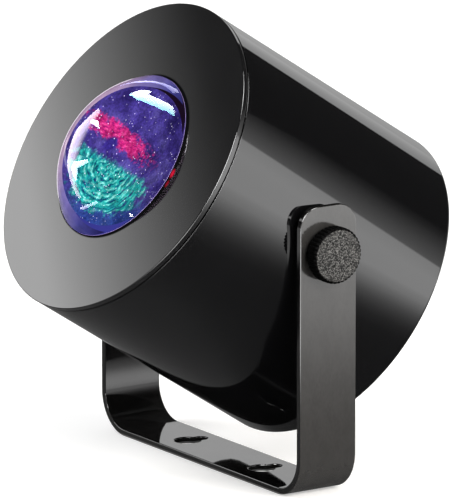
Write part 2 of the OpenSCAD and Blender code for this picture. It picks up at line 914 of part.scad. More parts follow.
module driver_screws() {
    color("#b9bcc2")
        in_head()
            translate([0, 0, z_driver_front])
                at_driver_corners()
                    screw(board_thick + driver_room - 2);
}

module dc_socket() {
    base_w = socket_d + 2 * socket_block;
    color("#0c0d0f")
        in_head()
            translate([-control_side, -control_drop, 0])
                difference() {
                    union() {
                        translate([-base_w / 2, -base_w / 2, z_cover_in])
                            cube([base_w, base_w, z_driver - z_cover_in]);
                        translate([0, 0, z_cover - socket_lip])
                            cylinder(d = socket_d, h = z_cover_in - z_cover + socket_lip + overlap);
                    }
                    translate([0, 0, z_cover - 2 * socket_lip])
                        ring_of(socket_bore / 2, pin_d / 2,
                            z_driver - z_cover + 2 * socket_lip - socket_floor);
                }
}

// The switch has a well that the button's stem moves in.
module touch_switch() {
    color("#55585f")
        in_head()
            translate([control_side, -control_drop, z_driver - switch_h])
                difference() {
                    translate([-switch_w / 2, -switch_w / 2, 0])
                        cube([switch_w, switch_w, switch_h]);
                    translate([0, 0, -1])
                        cylinder(d = stem_d + 2 * loose_fit, h = switch_well + 1);
                }
}

module mode_button() {
    flange_z = z_cover_in + button_gap;
    rim_r = button_d / 2 + button_flange;
    stem_z = z_driver - switch_h + stem_entry;
    color("#c9ccd1")
        in_head()
            translate([control_side, -control_drop, 0]) {
                rotate_extrude()
                    polygon([[0, z_cover - button_proud],
                        [button_d / 2 - button_edge, z_cover - button_proud],
                        [button_d / 2, z_cover - button_proud + button_edge], [button_d / 2, flange_z],
                        [rim_r, flange_z], [rim_r, flange_z + button_flange],
                        [stem_d / 2, flange_z + button_flange], [stem_d / 2, stem_z], [0, stem_z]]);
            }
}

module vent_slots() {
    for (i = [-vent_pairs : vent_pairs]) {
        reach = sqrt(pow(boss_ring_r - boss_r - vent_margin, 2) - pow(i * vent_pitch, 2));
        low = driver_h / 2 - driver_drop + vent_above;
        translate([i * vent_pitch, (reach + low) / 2])
            slot_2d(reach - low, vent_w);
    }
}

module rear_cover() {
    color("#1b1c20")
        in_head()
            difference() {
                union() {
                    translate([0, 0, z_cover])
                        cylinder(r = bore_r - push_fit, h = cover_thick);
                    translate([0, 0, z_cover_in - overlap])
                        at_driver_corners()
                            cylinder(d = post_d, h = driver_room + overlap);
                }
                translate([0, 0, z_cover - 1]) {
                    around(boss_angles, boss_ring_r)
                        cylinder(d = hole_d, h = cover_thick + 2);
                    linear_extrude(cover_thick + 2)
                        vent_slots();
                    translate([-control_side, -control_drop, 0])
                        cylinder(d = socket_d + 2 * push_fit, h = cover_thick + 2);
                    translate([control_side, -control_drop, 0])
                        cylinder(d = button_d + 2 * loose_fit, h = cover_thick + 2);
                }
                translate([0, 0, z_cover_in + 1])
                    at_driver_corners()
                        cylinder(d = pilot_d, h = driver_room + 1);
            }
}

module cover_screws() {
    color("#8f9298")
        in_head()
            translate([0, 0, z_cover])
                around(boss_angles, boss_ring_r)
                    mirror([0, 0, 1])
                        screw(cover_thick + screw_grip);
}

module led_lead() {
    z_run = z_sink_front + board_thick + lead_d / 2;
    out_r = sink_r - lead_d / 2 - 0.4;
    end_x = driver_w / 2 - lead_inset;
    end_y = driver_h / 2 - driver_drop - lead_inset;
    color("#a03030")
        in_head()
            lead([concat(polar(led_board_r - 2.6, lead_angle), z_run),
                concat(polar(out_r, lead_angle), z_run),
                concat(polar(out_r, lead_angle), z_fins - 2),
                [end_x, end_y, z_driver_front + lead_rise], [end_x, end_y, z_driver_front]]);
}

module motor_lead() {
    color("#303a8c")
        in_head()
            lead([[0, -gear_centres, z_motor], [0, -gear_centres, z_driver_front + 6],
                [0, motor_lead_inset - driver_drop - driver_h / 2, z_driver_front + 3],
                [0, motor_lead_inset - driver_drop - driver_h / 2, z_driver_front]]);
}

module insert(side) {
    color("#c9a24e")
        on_pivot(side, insert_x)
            ring_of(insert_d / 2, stud_d / 2 + run_fit, insert_length);
}

module friction_washer(side) {
    color("#3b3b3b")
        on_pivot(side, pivot_pad_x)
            ring_of(pivot_boss_d / 2, stud_d / 2 + loose_fit, friction_thick);
}

module washer(side) {
    color("#9da0a6")
        on_pivot(side, washer_x)
            ring_of(washer_d / 2, stud_d / 2 + loose_fit, washer_thick);
}

module knob_2d() {
    difference() {
        circle(d = knob_d);
        for (k = [0 : knob_grooves - 1])
            rotate(360 * k / knob_grooves)
                translate([knob_d / 2, 0])
                    rotate(45)
                        square(groove_depth * sqrt(2), center = true);
    }
}

module knob(side) {
    rim = knob_d / 2;
    color("#1d1d1f")
        on_pivot(side, knob_x)
            difference() {
                intersection() {
                    linear_extrude(knob_h)
                        knob_2d();
                    rotate_extrude()
                        polygon([[0, 0], [rim - knob_edge, 0], [rim, knob_edge], [rim, knob_h - knob_edge],
                            [rim - knob_edge, knob_h], [0, knob_h]]);
                }
                translate([0, 0, -1])
                    cylinder(d = stud_d + 2 * push_fit, h = stud_seat + 1);
            }
}

module stud(side) {
    color("#b9bcc2")
        on_pivot(side, stud_in_x)
            cylinder(d = stud_d, h = knob_x + stud_seat - stud_in_x);
}

module right_insert() {
    insert(1);
}

module left_insert() {
    insert(-1);
}

module right_friction_washer() {
    friction_washer(1);
}

module left_friction_washer() {
    friction_washer(-1);
}

module right_knob() {
    knob(1);
}

module left_knob() {
    knob(-1);
}

module right_stud() {
    stud(1);
}

module left_stud() {
    stud(-1);
}

module right_washer() {
    washer(1);
}

module left_washer() {
    washer(-1);
}

u_bracket();
housing();
front_plate();
front_lens();
lens_ring();
lens_ring_screws();
effect_wheel();
effect_glass();
wheel_clip();
optics_frame();
frame_screws();
drive_pinion();
motor_shaft();
gear_motor();
motor_clamp();
clamp_screws();
standoffs();
standoff_screws();
heat_sink();
sink_screws();
led_board();
led_emitters();
collimator();
collimator_holder();
holder_screws();
driver_board();
driver_parts();
driver_screws();
dc_socket();
touch_switch();
mode_button();
rear_cover();
cover_screws();
led_lead();
motor_lead();
right_insert();
left_insert();
right_friction_washer();
left_friction_washer();
right_knob();
left_knob();
right_stud();
left_stud();
right_washer();
left_washer();
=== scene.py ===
import json
import math
import bmesh
import bpy
import numpy as np
from mathutils import Matrix, Vector


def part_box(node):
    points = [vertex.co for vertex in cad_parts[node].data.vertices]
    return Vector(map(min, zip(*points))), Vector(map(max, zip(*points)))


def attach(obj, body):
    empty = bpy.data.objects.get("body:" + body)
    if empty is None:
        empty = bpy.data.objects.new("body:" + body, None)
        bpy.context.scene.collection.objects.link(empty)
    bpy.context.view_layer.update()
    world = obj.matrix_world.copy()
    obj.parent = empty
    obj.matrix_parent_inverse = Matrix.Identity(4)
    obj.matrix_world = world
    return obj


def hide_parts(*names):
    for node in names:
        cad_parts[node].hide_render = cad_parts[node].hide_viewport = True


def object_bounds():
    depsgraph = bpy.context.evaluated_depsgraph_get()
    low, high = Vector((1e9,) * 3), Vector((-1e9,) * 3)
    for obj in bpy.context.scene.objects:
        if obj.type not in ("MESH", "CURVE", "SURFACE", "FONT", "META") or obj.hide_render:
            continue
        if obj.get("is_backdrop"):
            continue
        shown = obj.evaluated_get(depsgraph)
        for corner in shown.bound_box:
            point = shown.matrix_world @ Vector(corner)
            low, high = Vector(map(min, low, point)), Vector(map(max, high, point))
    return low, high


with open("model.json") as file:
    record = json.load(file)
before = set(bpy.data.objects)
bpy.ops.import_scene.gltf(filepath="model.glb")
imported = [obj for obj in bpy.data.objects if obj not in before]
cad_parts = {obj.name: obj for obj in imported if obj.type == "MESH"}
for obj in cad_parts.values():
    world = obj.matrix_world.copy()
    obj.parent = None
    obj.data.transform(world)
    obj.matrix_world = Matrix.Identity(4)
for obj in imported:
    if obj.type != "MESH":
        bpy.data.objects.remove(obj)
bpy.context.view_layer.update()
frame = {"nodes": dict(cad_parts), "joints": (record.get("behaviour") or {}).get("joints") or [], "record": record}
nodes = frame["nodes"]
joints = {j["name"]: j for j in frame["joints"]}
slots = {s["node"]: s["material_slot"] for s in frame["record"]["subparts"]}
print("frame loaded,", len(nodes), "nodes")

# head coordinates: x along the tilt axis, y up the head, z along the beam, from the tilt axis
pivot = np.array(joints["head_tilt"]["pos_m"])
beam = np.array(joints["wheel_spin"]["axis"])
side = np.array([1.0, 0.0, 0.0])
upright = np.array([0.0, 0.0, 1.0])
headUp = np.cross(beam, side)
mm = 0.001


def toHead(points):
    p = np.asarray(points) - pivot
    return np.stack([p @ side, p @ headUp, p @ beam], axis=-1)


def fromHead(points):
    p = np.asarray(points)
    return pivot + p[..., :1] * side + p[..., 1:2] * headUp + p[..., 2:3] * beam


def nodePoints(name):
    data = nodes[name].data
    flat = np.empty(len(data.vertices) * 3, dtype=np.float32)
    data.vertices.foreach_get("co", flat)
    return flat.reshape(-1, 3).astype(float)


# least and greatest radius and depth of a round CAD node about the beam axis
def roundSize(name):
    p = toHead(nodePoints(name))
    r = np.hypot(p[:, 0], p[:, 1])
    return r.min(), r.max(), p[:, 2].min(), p[:, 2].max()


def unit(v):
    return v / np.linalg.norm(v, axis=-1, keepdims=True)


# camera from the photograph: long lens, aimed a little below the tilt axis
camera = {"azimuth": 56.189, "elevation": 12.823, "distance": 2.4476, "lens": 590.68,
          "right": 0.11 * mm, "up": -9.21 * mm, "sensor": 36, "clipEnd": 100}
azimuth, elevation = math.radians(camera["azimuth"]), math.radians(camera["elevation"])
back = np.array([math.sin(azimuth) * math.cos(elevation), -math.cos(azimuth) * math.cos(elevation),
                 math.sin(elevation)])
right = np.array([math.cos(azimuth), math.sin(azimuth), 0.0])
cameraAt = pivot + back * camera["distance"]
aim = pivot + right * camera["right"] + np.cross(back, right) * camera["up"]
turn = np.eye(4)
turn[:3, 2] = unit(cameraAt - aim)
turn[:3, 0] = unit(np.cross(upright, turn[:3, 2]))
turn[:3, 1] = np.cross(turn[:3, 2], turn[:3, 0])
turn[:3, 3] = cameraAt
cameraData = bpy.data.cameras.new("camera")
cameraData.lens = camera["lens"]
cameraData.sensor_width = camera["sensor"]
cameraData.clip_end = camera["clipEnd"]
cameraObject = bpy.data.objects.new("camera", cameraData)
cameraObject.matrix_world = Matrix(turn.tolist())
bpy.context.scene.collection.objects.link(cameraObject)
bpy.context.scene.camera = cameraObject
bpy.context.scene.view_settings.view_transform = "Standard"
print("camera set")


# quads of a grid of rows x columns, with the rows or the columns joined end to end
def gridFaces(rows, cols, wrapRows=False, wrapCols=False):
    i = np.arange(rows if wrapRows else rows - 1)
    j = np.arange(cols if wrapCols else cols - 1)
    i, j = (g.ravel() for g in np.meshgrid(i, j, indexing="ij"))
    i2, j2 = (i + 1) % rows, (j + 1) % cols
    return np.stack([i * cols + j, i2 * cols + j, i2 * cols + j2, i * cols + j2], axis=1)


weld = {"points": 0.001 * mm, "slivers": 0.0001 * mm}


# one object from whole arrays: parts joined, doubled points merged, faces turned outwards, smooth
def makeObject(name, parts, material):
    starts = np.cumsum([0] + [len(v) for v, f in parts])
    verts = np.vstack([v for v, f in parts])
    faces = np.vstack([f + s for (v, f), s in zip(parts, starts)])
    mesh = bpy.data.meshes.new(name)
    mesh.from_pydata(verts.tolist(), [], faces.tolist())
    bm = bmesh.new()
    bm.from_mesh(mesh)
    bmesh.ops.remove_doubles(bm, verts=bm.verts, dist=weld["points"])
    bmesh.ops.dissolve_degenerate(bm, edges=bm.edges, dist=weld["slivers"])
    bmesh.ops.recalc_face_normals(bm, faces=bm.faces)
    bm.to_mesh(mesh)
    bm.free()
    mesh.polygons.foreach_set("use_smooth", np.ones(len(mesh.polygons), dtype=bool))
    mesh.materials.append(material)
    obj = bpy.data.objects.new(name, mesh)
    bpy.context.scene.collection.objects.link(obj)
    return obj


# a piece of the lamp: it rides on a body and stands for one CAD node
def makePiece(name, parts, body, node):
    obj = makeObject(name, parts, finishes[slots[node]])
    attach(obj, body)
    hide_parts(node)
    return obj


# corners (r, z, radius) rounded by arcs, with a point on the flat either side so that flats stay flat
def roundedOutline(corners, steps=6, support=0.12 * mm):
    pts = np.array([c[:2] for c in corners], dtype=float)
    out = []
    for k, c in enumerate(corners):
        p = pts[k]
        if len(c) < 3:
            out.append(p[None])
            continue
        a, b = unit(pts[k - 1] - p), unit(pts[(k + 1) % len(pts)] - p)
        half = math.acos(np.clip(a @ b, -1, 1)) / 2
        run = c[2] / math.tan(half)
        centre = p + unit(a + b) * c[2] / math.sin(half)
        u, v = (p + a * run - centre), (p + b * run - centre)
        t = np.linspace(0, 1, steps + 1)[:, None]
        bend = math.pi - 2 * half
        arc = (np.sin((1 - t) * bend) * u + np.sin(t * bend) * v) / math.sin(bend)
        out.append(np.vstack([p + a * (run + support), centre + arc, p + b * (run + support)]))
    return np.vstack(out)


# a profile (r, z) carried round the beam axis
def turnedPiece(outline, segments, closed=True):
    t = np.linspace(0, 2 * math.pi, segments, endpoint=False)
    r, z = outline[:, :1], outline[:, 1:]
    grid = np.stack([r * np.cos(t), r * np.sin(t), np.broadcast_to(z, (len(outline), segments))], axis=-1)
    return fromHead(grid.reshape(-1, 3)), gridFaces(len(outline), segments, wrapRows=closed, wrapCols=True)


# a profile (radius, distance along the tilt axis) carried round the tilt axis, less a ripple of the angle
def turnedOnPivot(radius, along, segments, sign, ripple=0.0):
    t = np.linspace(0, 2 * math.pi, segments, endpoint=False)
    r = np.broadcast_to(radius[:, None], (len(radius), segments)) - ripple
    x = np.broadcast_to(along[:, None] * sign, r.shape)
    grid = np.stack([x, r * np.cos(t), r * np.sin(t)], axis=-1)
    return pivot + grid.reshape(-1, 3), gridFaces(len(radius), segments, wrapCols=True)


# adds nodes to a tree; a socket takes a plain value or another node's output
class Wiring:
    def __init__(self, tree):
        self.tree = tree

    def put(self, socket, value):
        if isinstance(value, bpy.types.NodeSocket):
            self.tree.links.new(value, socket)
        else:
            socket.default_value = value

    def fill(self, node, inputs):
        for key, value in inputs.items():
            self.put(node.inputs[key], value)
        return node

    def add(self, kind, inputs=None, **settings):
        node = self.tree.nodes.new(kind if kind.startswith("NodeGroup") else "ShaderNode" + kind)
        for key, value in settings.items():
            setattr(node, key, value)
        return self.fill(node, inputs or {})

    def calc(self, operation, *values, kind="Math", result="Value"):
        node = self.add(kind, operation=operation)
        for socket, value in zip(node.inputs, values):
            self.put(socket, value)
        return node.outputs[result]

    def vector(self, operation, *values, result="Vector"):
        return self.calc(operation, *values, kind="VectorMath", result=result)

    def distance(self, u, v):
        return self.calc("SQRT", self.calc("ADD", self.calc("MULTIPLY", u, u), self.calc("MULTIPLY", v, v)))

    def noise(self, vector, scale, detail=4.0, roughness=0.55):
        values = {"Vector": vector, "Scale": scale, "Detail": detail, "Roughness": roughness}
        return self.add("TexNoise", values).outputs["Fac"]

    def span(self, value, low, high, smooth=True):
        values = {"Value": value, "From Min": low, "From Max": high}
        kind = "SMOOTHSTEP" if smooth else "LINEAR"
        return self.add("MapRange", values, interpolation_type=kind).outputs["Result"]

    # stops are (position, colour) with a grey given as one number
    def ramp(self, value, *stops):
        node = self.add("ValToRGB", {"Fac": value})
        e = node.color_ramp.elements
        while len(e) < len(stops):
            e.new(0.5)
        for item, (at, color) in zip(e, stops):
            item.position = at
            item.color = (color, color, color, 1) if isinstance(color, (int, float)) else (*color, 1)
        return node.outputs["Color"]

    def blend(self, share, a, b, mode="MIX"):
        values = {"Factor": share, "A": a, "B": b}
        node = self.add("Mix", values, data_type="RGBA", blend_type=mode)
        return node.outputs["Result"]

    def split(self, vector):
        return self.add("SeparateXYZ", {"Vector": vector}).outputs

    def place(self):
        return self.add("TexCoord").outputs["Object"]


def newMaterial(name):
    mat = bpy.data.materials.new(name)
    mat.use_nodes = True
    return mat, Wiring(mat.node_tree), mat.node_tree.nodes["Principled BSDF"]


# fine grain: roughness, shade and height that wander over the surface; stretch draws the grain out
fineGrain = {"detail": 3.0, "coarse": 0.17, "coarseDetail": 5.0, "roughSpan": (0.3, 0.7),
             "shadeSpan": (0.75, 1.25), "relief": 0.02 * mm,
             "sockets": (("INPUT", "Float", ("Size", "Low", "High")), ("INPUT", "Vector", ("Stretch",)),
                         ("INPUT", "Color", ("Dark", "Light")), ("OUTPUT", "Color", ("Color",)),
                         ("OUTPUT", "Float", ("Roughness", "Height")))}


def grainGroup():
    group = bpy.data.node_groups.new("fine grain", "ShaderNodeTree")
    for way, kind, labels in fineGrain["sockets"]:
        for label in labels:
            group.interface.new_socket(label, in_out=way, socket_type="NodeSocket" + kind)
    w = Wiring(group)
    given = w.add("NodeGroupInput").outputs
    drawn = w.vector("MULTIPLY", w.place(), given["Stretch"])
    fine = w.noise(drawn, given["Size"], fineGrain["detail"])
    coarseSize = w.calc("MULTIPLY", given["Size"], fineGrain["coarse"])
    coarse = w.noise(drawn, coarseSize, fineGrain["coarseDetail"])
    least, most = fineGrain["roughSpan"]
    rough = w.add("MapRange", {"Value": fine, "From Min": least, "From Max": most, "To Min": given["Low"],
                               "To Max": given["High"]})
    share = w.span(w.calc("ADD", fine, coarse), *fineGrain["shadeSpan"])
    shade = w.blend(share, given["Dark"], given["Light"])
    w.add("NodeGroupOutput", {"Color": shade, "Roughness": rough.outputs["Result"], "Height": fine})
    return group


grain = grainGroup()


# a finish: base colour with its spread of shade, range of roughness, grain per metre and bump
def grainFinish(name, color, low, high, size, spread=0.15, metallic=0.0, ior=1.5, bump=0.0,
                stretch=(1, 1, 1)):
    mat, w, bsdf = newMaterial(name)
    dark = tuple(c * (1 - spread) for c in color) + (1,)
    light = tuple(min(c * (1 + spread), 1) for c in color) + (1,)
    values = {"Size": size, "Low": low, "High": high, "Stretch": stretch, "Dark": dark, "Light": light}
    made = w.add("Group", values, node_tree=grain).outputs
    w.fill(bsdf, {"Base Color": made["Color"], "Roughness": made["Roughness"], "Metallic": metallic,
                  "IOR": ior})
    if bump > 0:
        relief = w.add("Bump", {"Strength": bump, "Distance": fineGrain["relief"], "Height": made["Height"]})
        w.put(bsdf.inputs["Normal"], relief.outputs["Normal"])
    return mat


def faceFinish(name):
    return grainFinish(name, (0.004, 0.004, 0.0044), 0.045, 0.065, 60, ior=1.7)


finishes = {
    "housing_black": grainFinish("gloss black lacquer", (0.0022, 0.0022, 0.0025), 0.02, 0.04, 40, ior=1.65),
    "face_black": faceFinish("black face lacquer"),
    "bracket_paint": grainFinish("charcoal strap paint", (0.027, 0.0263, 0.0258), 0.11, 0.15, 1500, 0.08,
                                 ior=1.65, bump=0.06, stretch=(1, 1, 0.5)),
    "inner_black": grainFinish("moulded black", (0.02, 0.02, 0.022), 0.45, 0.6, 1500, bump=0.25),
    "steel": grainFinish("zinc steel", (0.55, 0.56, 0.58), 0.24, 0.42, 1200, metallic=1.0, bump=0.1),
    "brass": grainFinish("turned brass", (0.72, 0.52, 0.2), 0.22, 0.36, 900, metallic=1.0),
    "friction_rubber": grainFinish("friction rubber", (0.02, 0.02, 0.02), 0.7, 0.85, 1800, bump=0.4),
    "sink_aluminium": grainFinish("sawn aluminium", (0.62, 0.63, 0.65), 0.3, 0.5, 700, metallic=1.0,
                                  bump=0.2, stretch=(1, 0.1, 1)),
    "white_board": grainFinish("white board", (0.75, 0.76, 0.74), 0.35, 0.5, 1300, 0.05),
    "emitter": grainFinish("emitter phosphor", (0.9, 0.72, 0.2), 0.3, 0.4, 2500, 0.1),
    "wheel_ivory": grainFinish("ivory wheel", (0.6, 0.57, 0.48), 0.4, 0.55, 1400, 0.06, bump=0.15),
    "pinion_acetal": grainFinish("acetal pinion", (0.6, 0.5, 0.3), 0.35, 0.45, 1600, 0.08),
    "board_green": grainFinish("green board", (0.02, 0.12, 0.06), 0.3, 0.42, 1000, 0.2),
    "board_parts": grainFinish("board parts", (0.03, 0.03, 0.034), 0.4, 0.55, 1600),
    "lead_red": grainFinish("red lead", (0.3, 0.02, 0.02), 0.45, 0.6, 1500),
    "lead_blue": grainFinish("blue lead", (0.02, 0.04, 0.25), 0.45, 0.6, 1500),
    "button_grey": grainFinish("grey button", (0.05, 0.05, 0.053), 0.4, 0.5, 1900, bump=0.3),
}
# the strap's inside and its edges take a darker, glossier copy of its paint: partly a glossier paint, partly
# painted shade
shadedInsidePaint = grainFinish("gloss strap inside with painted shade", (0.007, 0.0068, 0.0066), 0.04, 0.07, 120, ior=1.7)

# clear plastic whose tint drifts a little, as a thick moulding's does
tintDrift = {"size": 40.0, "detail": 2.0, "low": 0.3, "high": 0.7, "shade": 0.97}


def clearFinish(name, ior=1.49, color=(0.97, 0.96, 1.0)):
    mat, w, bsdf = newMaterial(name)
    drift = w.noise(w.place(), tintDrift["size"], tintDrift["detail"])
    shaded = tuple(tintDrift["shade"] * c for c in color)
    tint = w.ramp(drift, (tintDrift["low"], shaded), (tintDrift["high"], color))
    w.fill(bsdf, {"Base Color": tint, "Roughness": 0.0, "IOR": ior, "Transmission Weight": 1.0})
    return mat


finishes["lens_clear"] = clearFinish("clear dome")
finishes["optic_clear"] = clearFinish("clear collimator", color=(0.93, 0.97, 1.0))
openBack = clearFinish("clear lens back", ior=1.0)

# the lens's ground edge glows with the light that it carries, more where the grinding is coarse
lensEdge = {"color": (0.35, 0.28, 0.6, 1), "grit": 900.0, "detail": 3.0, "strength": 0.5,
            "glowStops": ((0.35, (0.16, 0.1, 0.36)), (0.65, (0.34, 0.24, 0.6))),
            "roughStops": ((0.3, 0.35), (0.7, 0.6))}


def groundFinish():
    mat, w, bsdf = newMaterial("ground lens edge")
    grit = w.noise(w.place(), lensEdge["grit"], lensEdge["detail"])
    w.fill(bsdf, {"Base Color": lensEdge["color"], "Emission Strength": lensEdge["strength"],
                  "Emission Color": w.ramp(grit, *lensEdge["glowStops"]),
                  "Roughness": w.ramp(grit, *lensEdge["roughStops"])})
    return mat


groundEdge = groundFinish()

# knob plastic: near-black, barely glossy wall and edge, partly the plastic's own black and partly painted shade; a
# speckled grain on the end face alone
knobGrain = {"speck": 3800.0, "fine": 0.6, "detail": 3.0, "cellShare": 0.65, "fineShare": 0.5,
             "endFrom": 0.12 * mm, "endFull": 0.03 * mm, "wall": (0.001, 0.001, 0.001, 1),
             "wallGloss": 0.08, "endGloss": 0.42, "ior": 1.22, "bump": 0.35, "relief": 0.03 * mm,
             "stops": ((0.3, 0.002), (0.62, (0.014, 0.0138, 0.0135)), (0.95, (0.14, 0.138, 0.135))),
             "roughStops": ((0.3, 0.5), (0.7, 0.68))}


def knobFinish():
    k = knobGrain
    mat, w, bsdf = newMaterial("black knob with painted wall shade")
    place = w.place()
    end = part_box("right_knob")[1][0]
    onEnd = w.span(w.calc("ABSOLUTE", w.split(place)["X"]), end - k["endFrom"], end - k["endFull"])
    cells = w.add("TexVoronoi", {"Vector": place, "Scale": k["speck"]}).outputs
    fine = w.noise(place, k["speck"] * k["fine"], k["detail"])
    speck = w.calc("MULTIPLY_ADD", w.split(cells["Color"])["X"], k["cellShare"],
                   w.calc("MULTIPLY", fine, k["fineShare"]))
    relief = w.add("Bump", {"Strength": k["bump"], "Distance": k["relief"], "Height": speck})
    # the wall's near-black colour and low gloss are partly painted shade
    w.fill(bsdf, {"Base Color": w.blend(onEnd, k["wall"], w.ramp(speck, *k["stops"])),
                  "Specular IOR Level": w.calc("MULTIPLY_ADD", onEnd, k["endGloss"], k["wallGloss"]),
                  "Roughness": w.ramp(fine, *k["roughStops"]), "Normal": relief.outputs["Normal"],
                  "IOR": k["ior"]})
    return mat


finishes["knob_black"] = knobFinish()

# glowing pattern of the turning glass, in millimetres from its middle: x along the tilt axis, y up
patternGlass = {
    "glow": 1.5, "base": (0.001, 0.001, 0.002, 1), "roughStops": ((0.3, 0.2), (0.7, 0.35)),
    "ragged": {"scale": 0.4, "detail": 9.0, "roughness": 0.72},
    "cloud": {"scale": 0.12, "detail": 6.0},
    "violetStops": ((0.36, (0.03, 0.018, 0.16)), (0.5, (0.068, 0.045, 0.3)), (0.64, (0.12, 0.095, 0.4))),
    "blueStops": ((0.3, (0.02, 0.045, 0.26)), (0.7, (0.05, 0.1, 0.36))), "blueSpan": (-7.0, -15.0),
    "pink": {"middle": (-5.6, 3.7), "size": (10.5, 2.7), "turn": -10.0, "torn": 2.6, "span": (-0.05, 0.3)},
    "pinkStops": ((0.36, (0.1, 0.008, 0.15)), (0.46, (0.6, 0.014, 0.18)), (0.6, (0.85, 0.06, 0.32)),
                  (0.72, (1.0, 0.3, 0.5))),
    "tear": {"scale": 1.0, "detail": 6.0, "roughness": 0.7}, "tearTurn": 35.0, "tearScale": (0.7, 2.2, 1),
    "tail": {"middle": (3.0, 2.2), "size": (9.0, 3.6), "turn": -14.0, "torn": 1.6, "span": (0.0, 0.5)},
    "dust": {"scale": 1.15, "detail": 3.0, "roughness": 0.75}, "dustSpan": (0.5, 0.6), "dustShare": 0.75,
    "teal": {"middle": (-2.0, -5.6), "size": (13.0, 8.6), "turn": -8.0, "torn": 1.3, "span": (-0.05, 0.15)},
    "tealStops": ((0.36, (0.008, 0.045, 0.16)), (0.45, (0.008, 0.25, 0.29)), (0.54, (0.025, 0.58, 0.5)),
                  (0.66, (0.4, 1.0, 0.92))),
    "tealEdge": {"top": -2.6, "slope": -0.15, "soft": 0.9, "torn": 4.5},
    "swirl": {"middle": (-4.0, -2.5), "rings": 1.25, "spokes": 2.4, "torn": 3.0},
    "streak": {"scale": 1.0, "detail": 5.0, "roughness": 0.62}, "streakSpan": (0.36, 0.46),
    "wholeSpan": (8.0, 1.0),
    "core": {"middle": (-6.9, 1.7), "size": (2.7, 2.1), "turn": 15.0, "torn": 1.2, "span": (0.0, 0.5)},
    "coreStops": ((0.3, (0.02, 0.012, 0.16)), (0.7, (0.05, 0.03, 0.28))),
    "grain": {"scale": 1.5, "detail": 4.0, "roughness": 0.7}, "grainStops": ((0.3, 0.4), (0.7, 1.2)),
    "sideSpan": (-1.0, 10.0), "sideStops": ((0.0, 1.0), (1.0, 0.66)),
    "blotch": {"scale": 0.3, "detail": 6.0, "roughness": 0.65}, "blotchStops": ((0.36, 0.55), (0.6, 1.05)),
    "sparkle": {"scale": 1.5, "dot": (0.24, 0.1), "some": (0.6, 0.95), "color": (0.85, 0.8, 1.0, 1)},
    "wallSpan": (-4.0, -14.0), "wallStops": ((0.0, (0.006, 0.002, 0.008)), (1.0, (0.03, 0.03, 0.2))),
    "wallDepth": (-0.1, -0.16), "rimDepth": (-2.95, -3.05), "rimSlope": (-0.053, 0.012),
    "rimStops": ((0.2, (0.006, 0.003, 0.01)), (0.45, (0.014, 0.012, 0.08)), (0.66, (0.05, 0.05, 0.23)),
                 (0.87, (0.2, 0.165, 0.42)), (1.0, (0.58, 0.4, 0.58))),
    "rimBlotch": {"scale": 0.3, "detail": 6.0}, "rimBlotchStops": ((0.3, 0.6), (0.7, 1.0))}


# millimetres from the beam axis at a depth of the head: x along the tilt axis, y up, z along the beam
def headSpot(w, depth):
    tilt = math.atan2(beam[2], -beam[1]) - math.pi / 2
    level = np.array([[1, 0, 0], [0, math.cos(tilt), -math.sin(tilt)], [0, math.sin(tilt), math.cos(tilt)]])
    middle = level @ (pivot + beam * depth) / mm
    return w.add("Mapping", {"Vector": w.place(), "Rotation": (tilt, 0, 0), "Location": tuple(-middle),
                             "Scale": (1 / mm, 1 / mm, 1 / mm)}).outputs["Vector"]


# oval field: 1 at its middle and 0 at its edge, the same at every depth
def oval(w, spot, form):
    deep = 1000
    m = w.add("Mapping", {"Vector": spot, "Location": (*form["middle"], 0), "Scale": (*form["size"], deep),
                          "Rotation": (0, 0, math.radians(form["turn"]))}, vector_type="TEXTURE")
    return w.calc("SUBTRACT", 1.0, w.vector("LENGTH", m.outputs["Vector"], result="Value"))


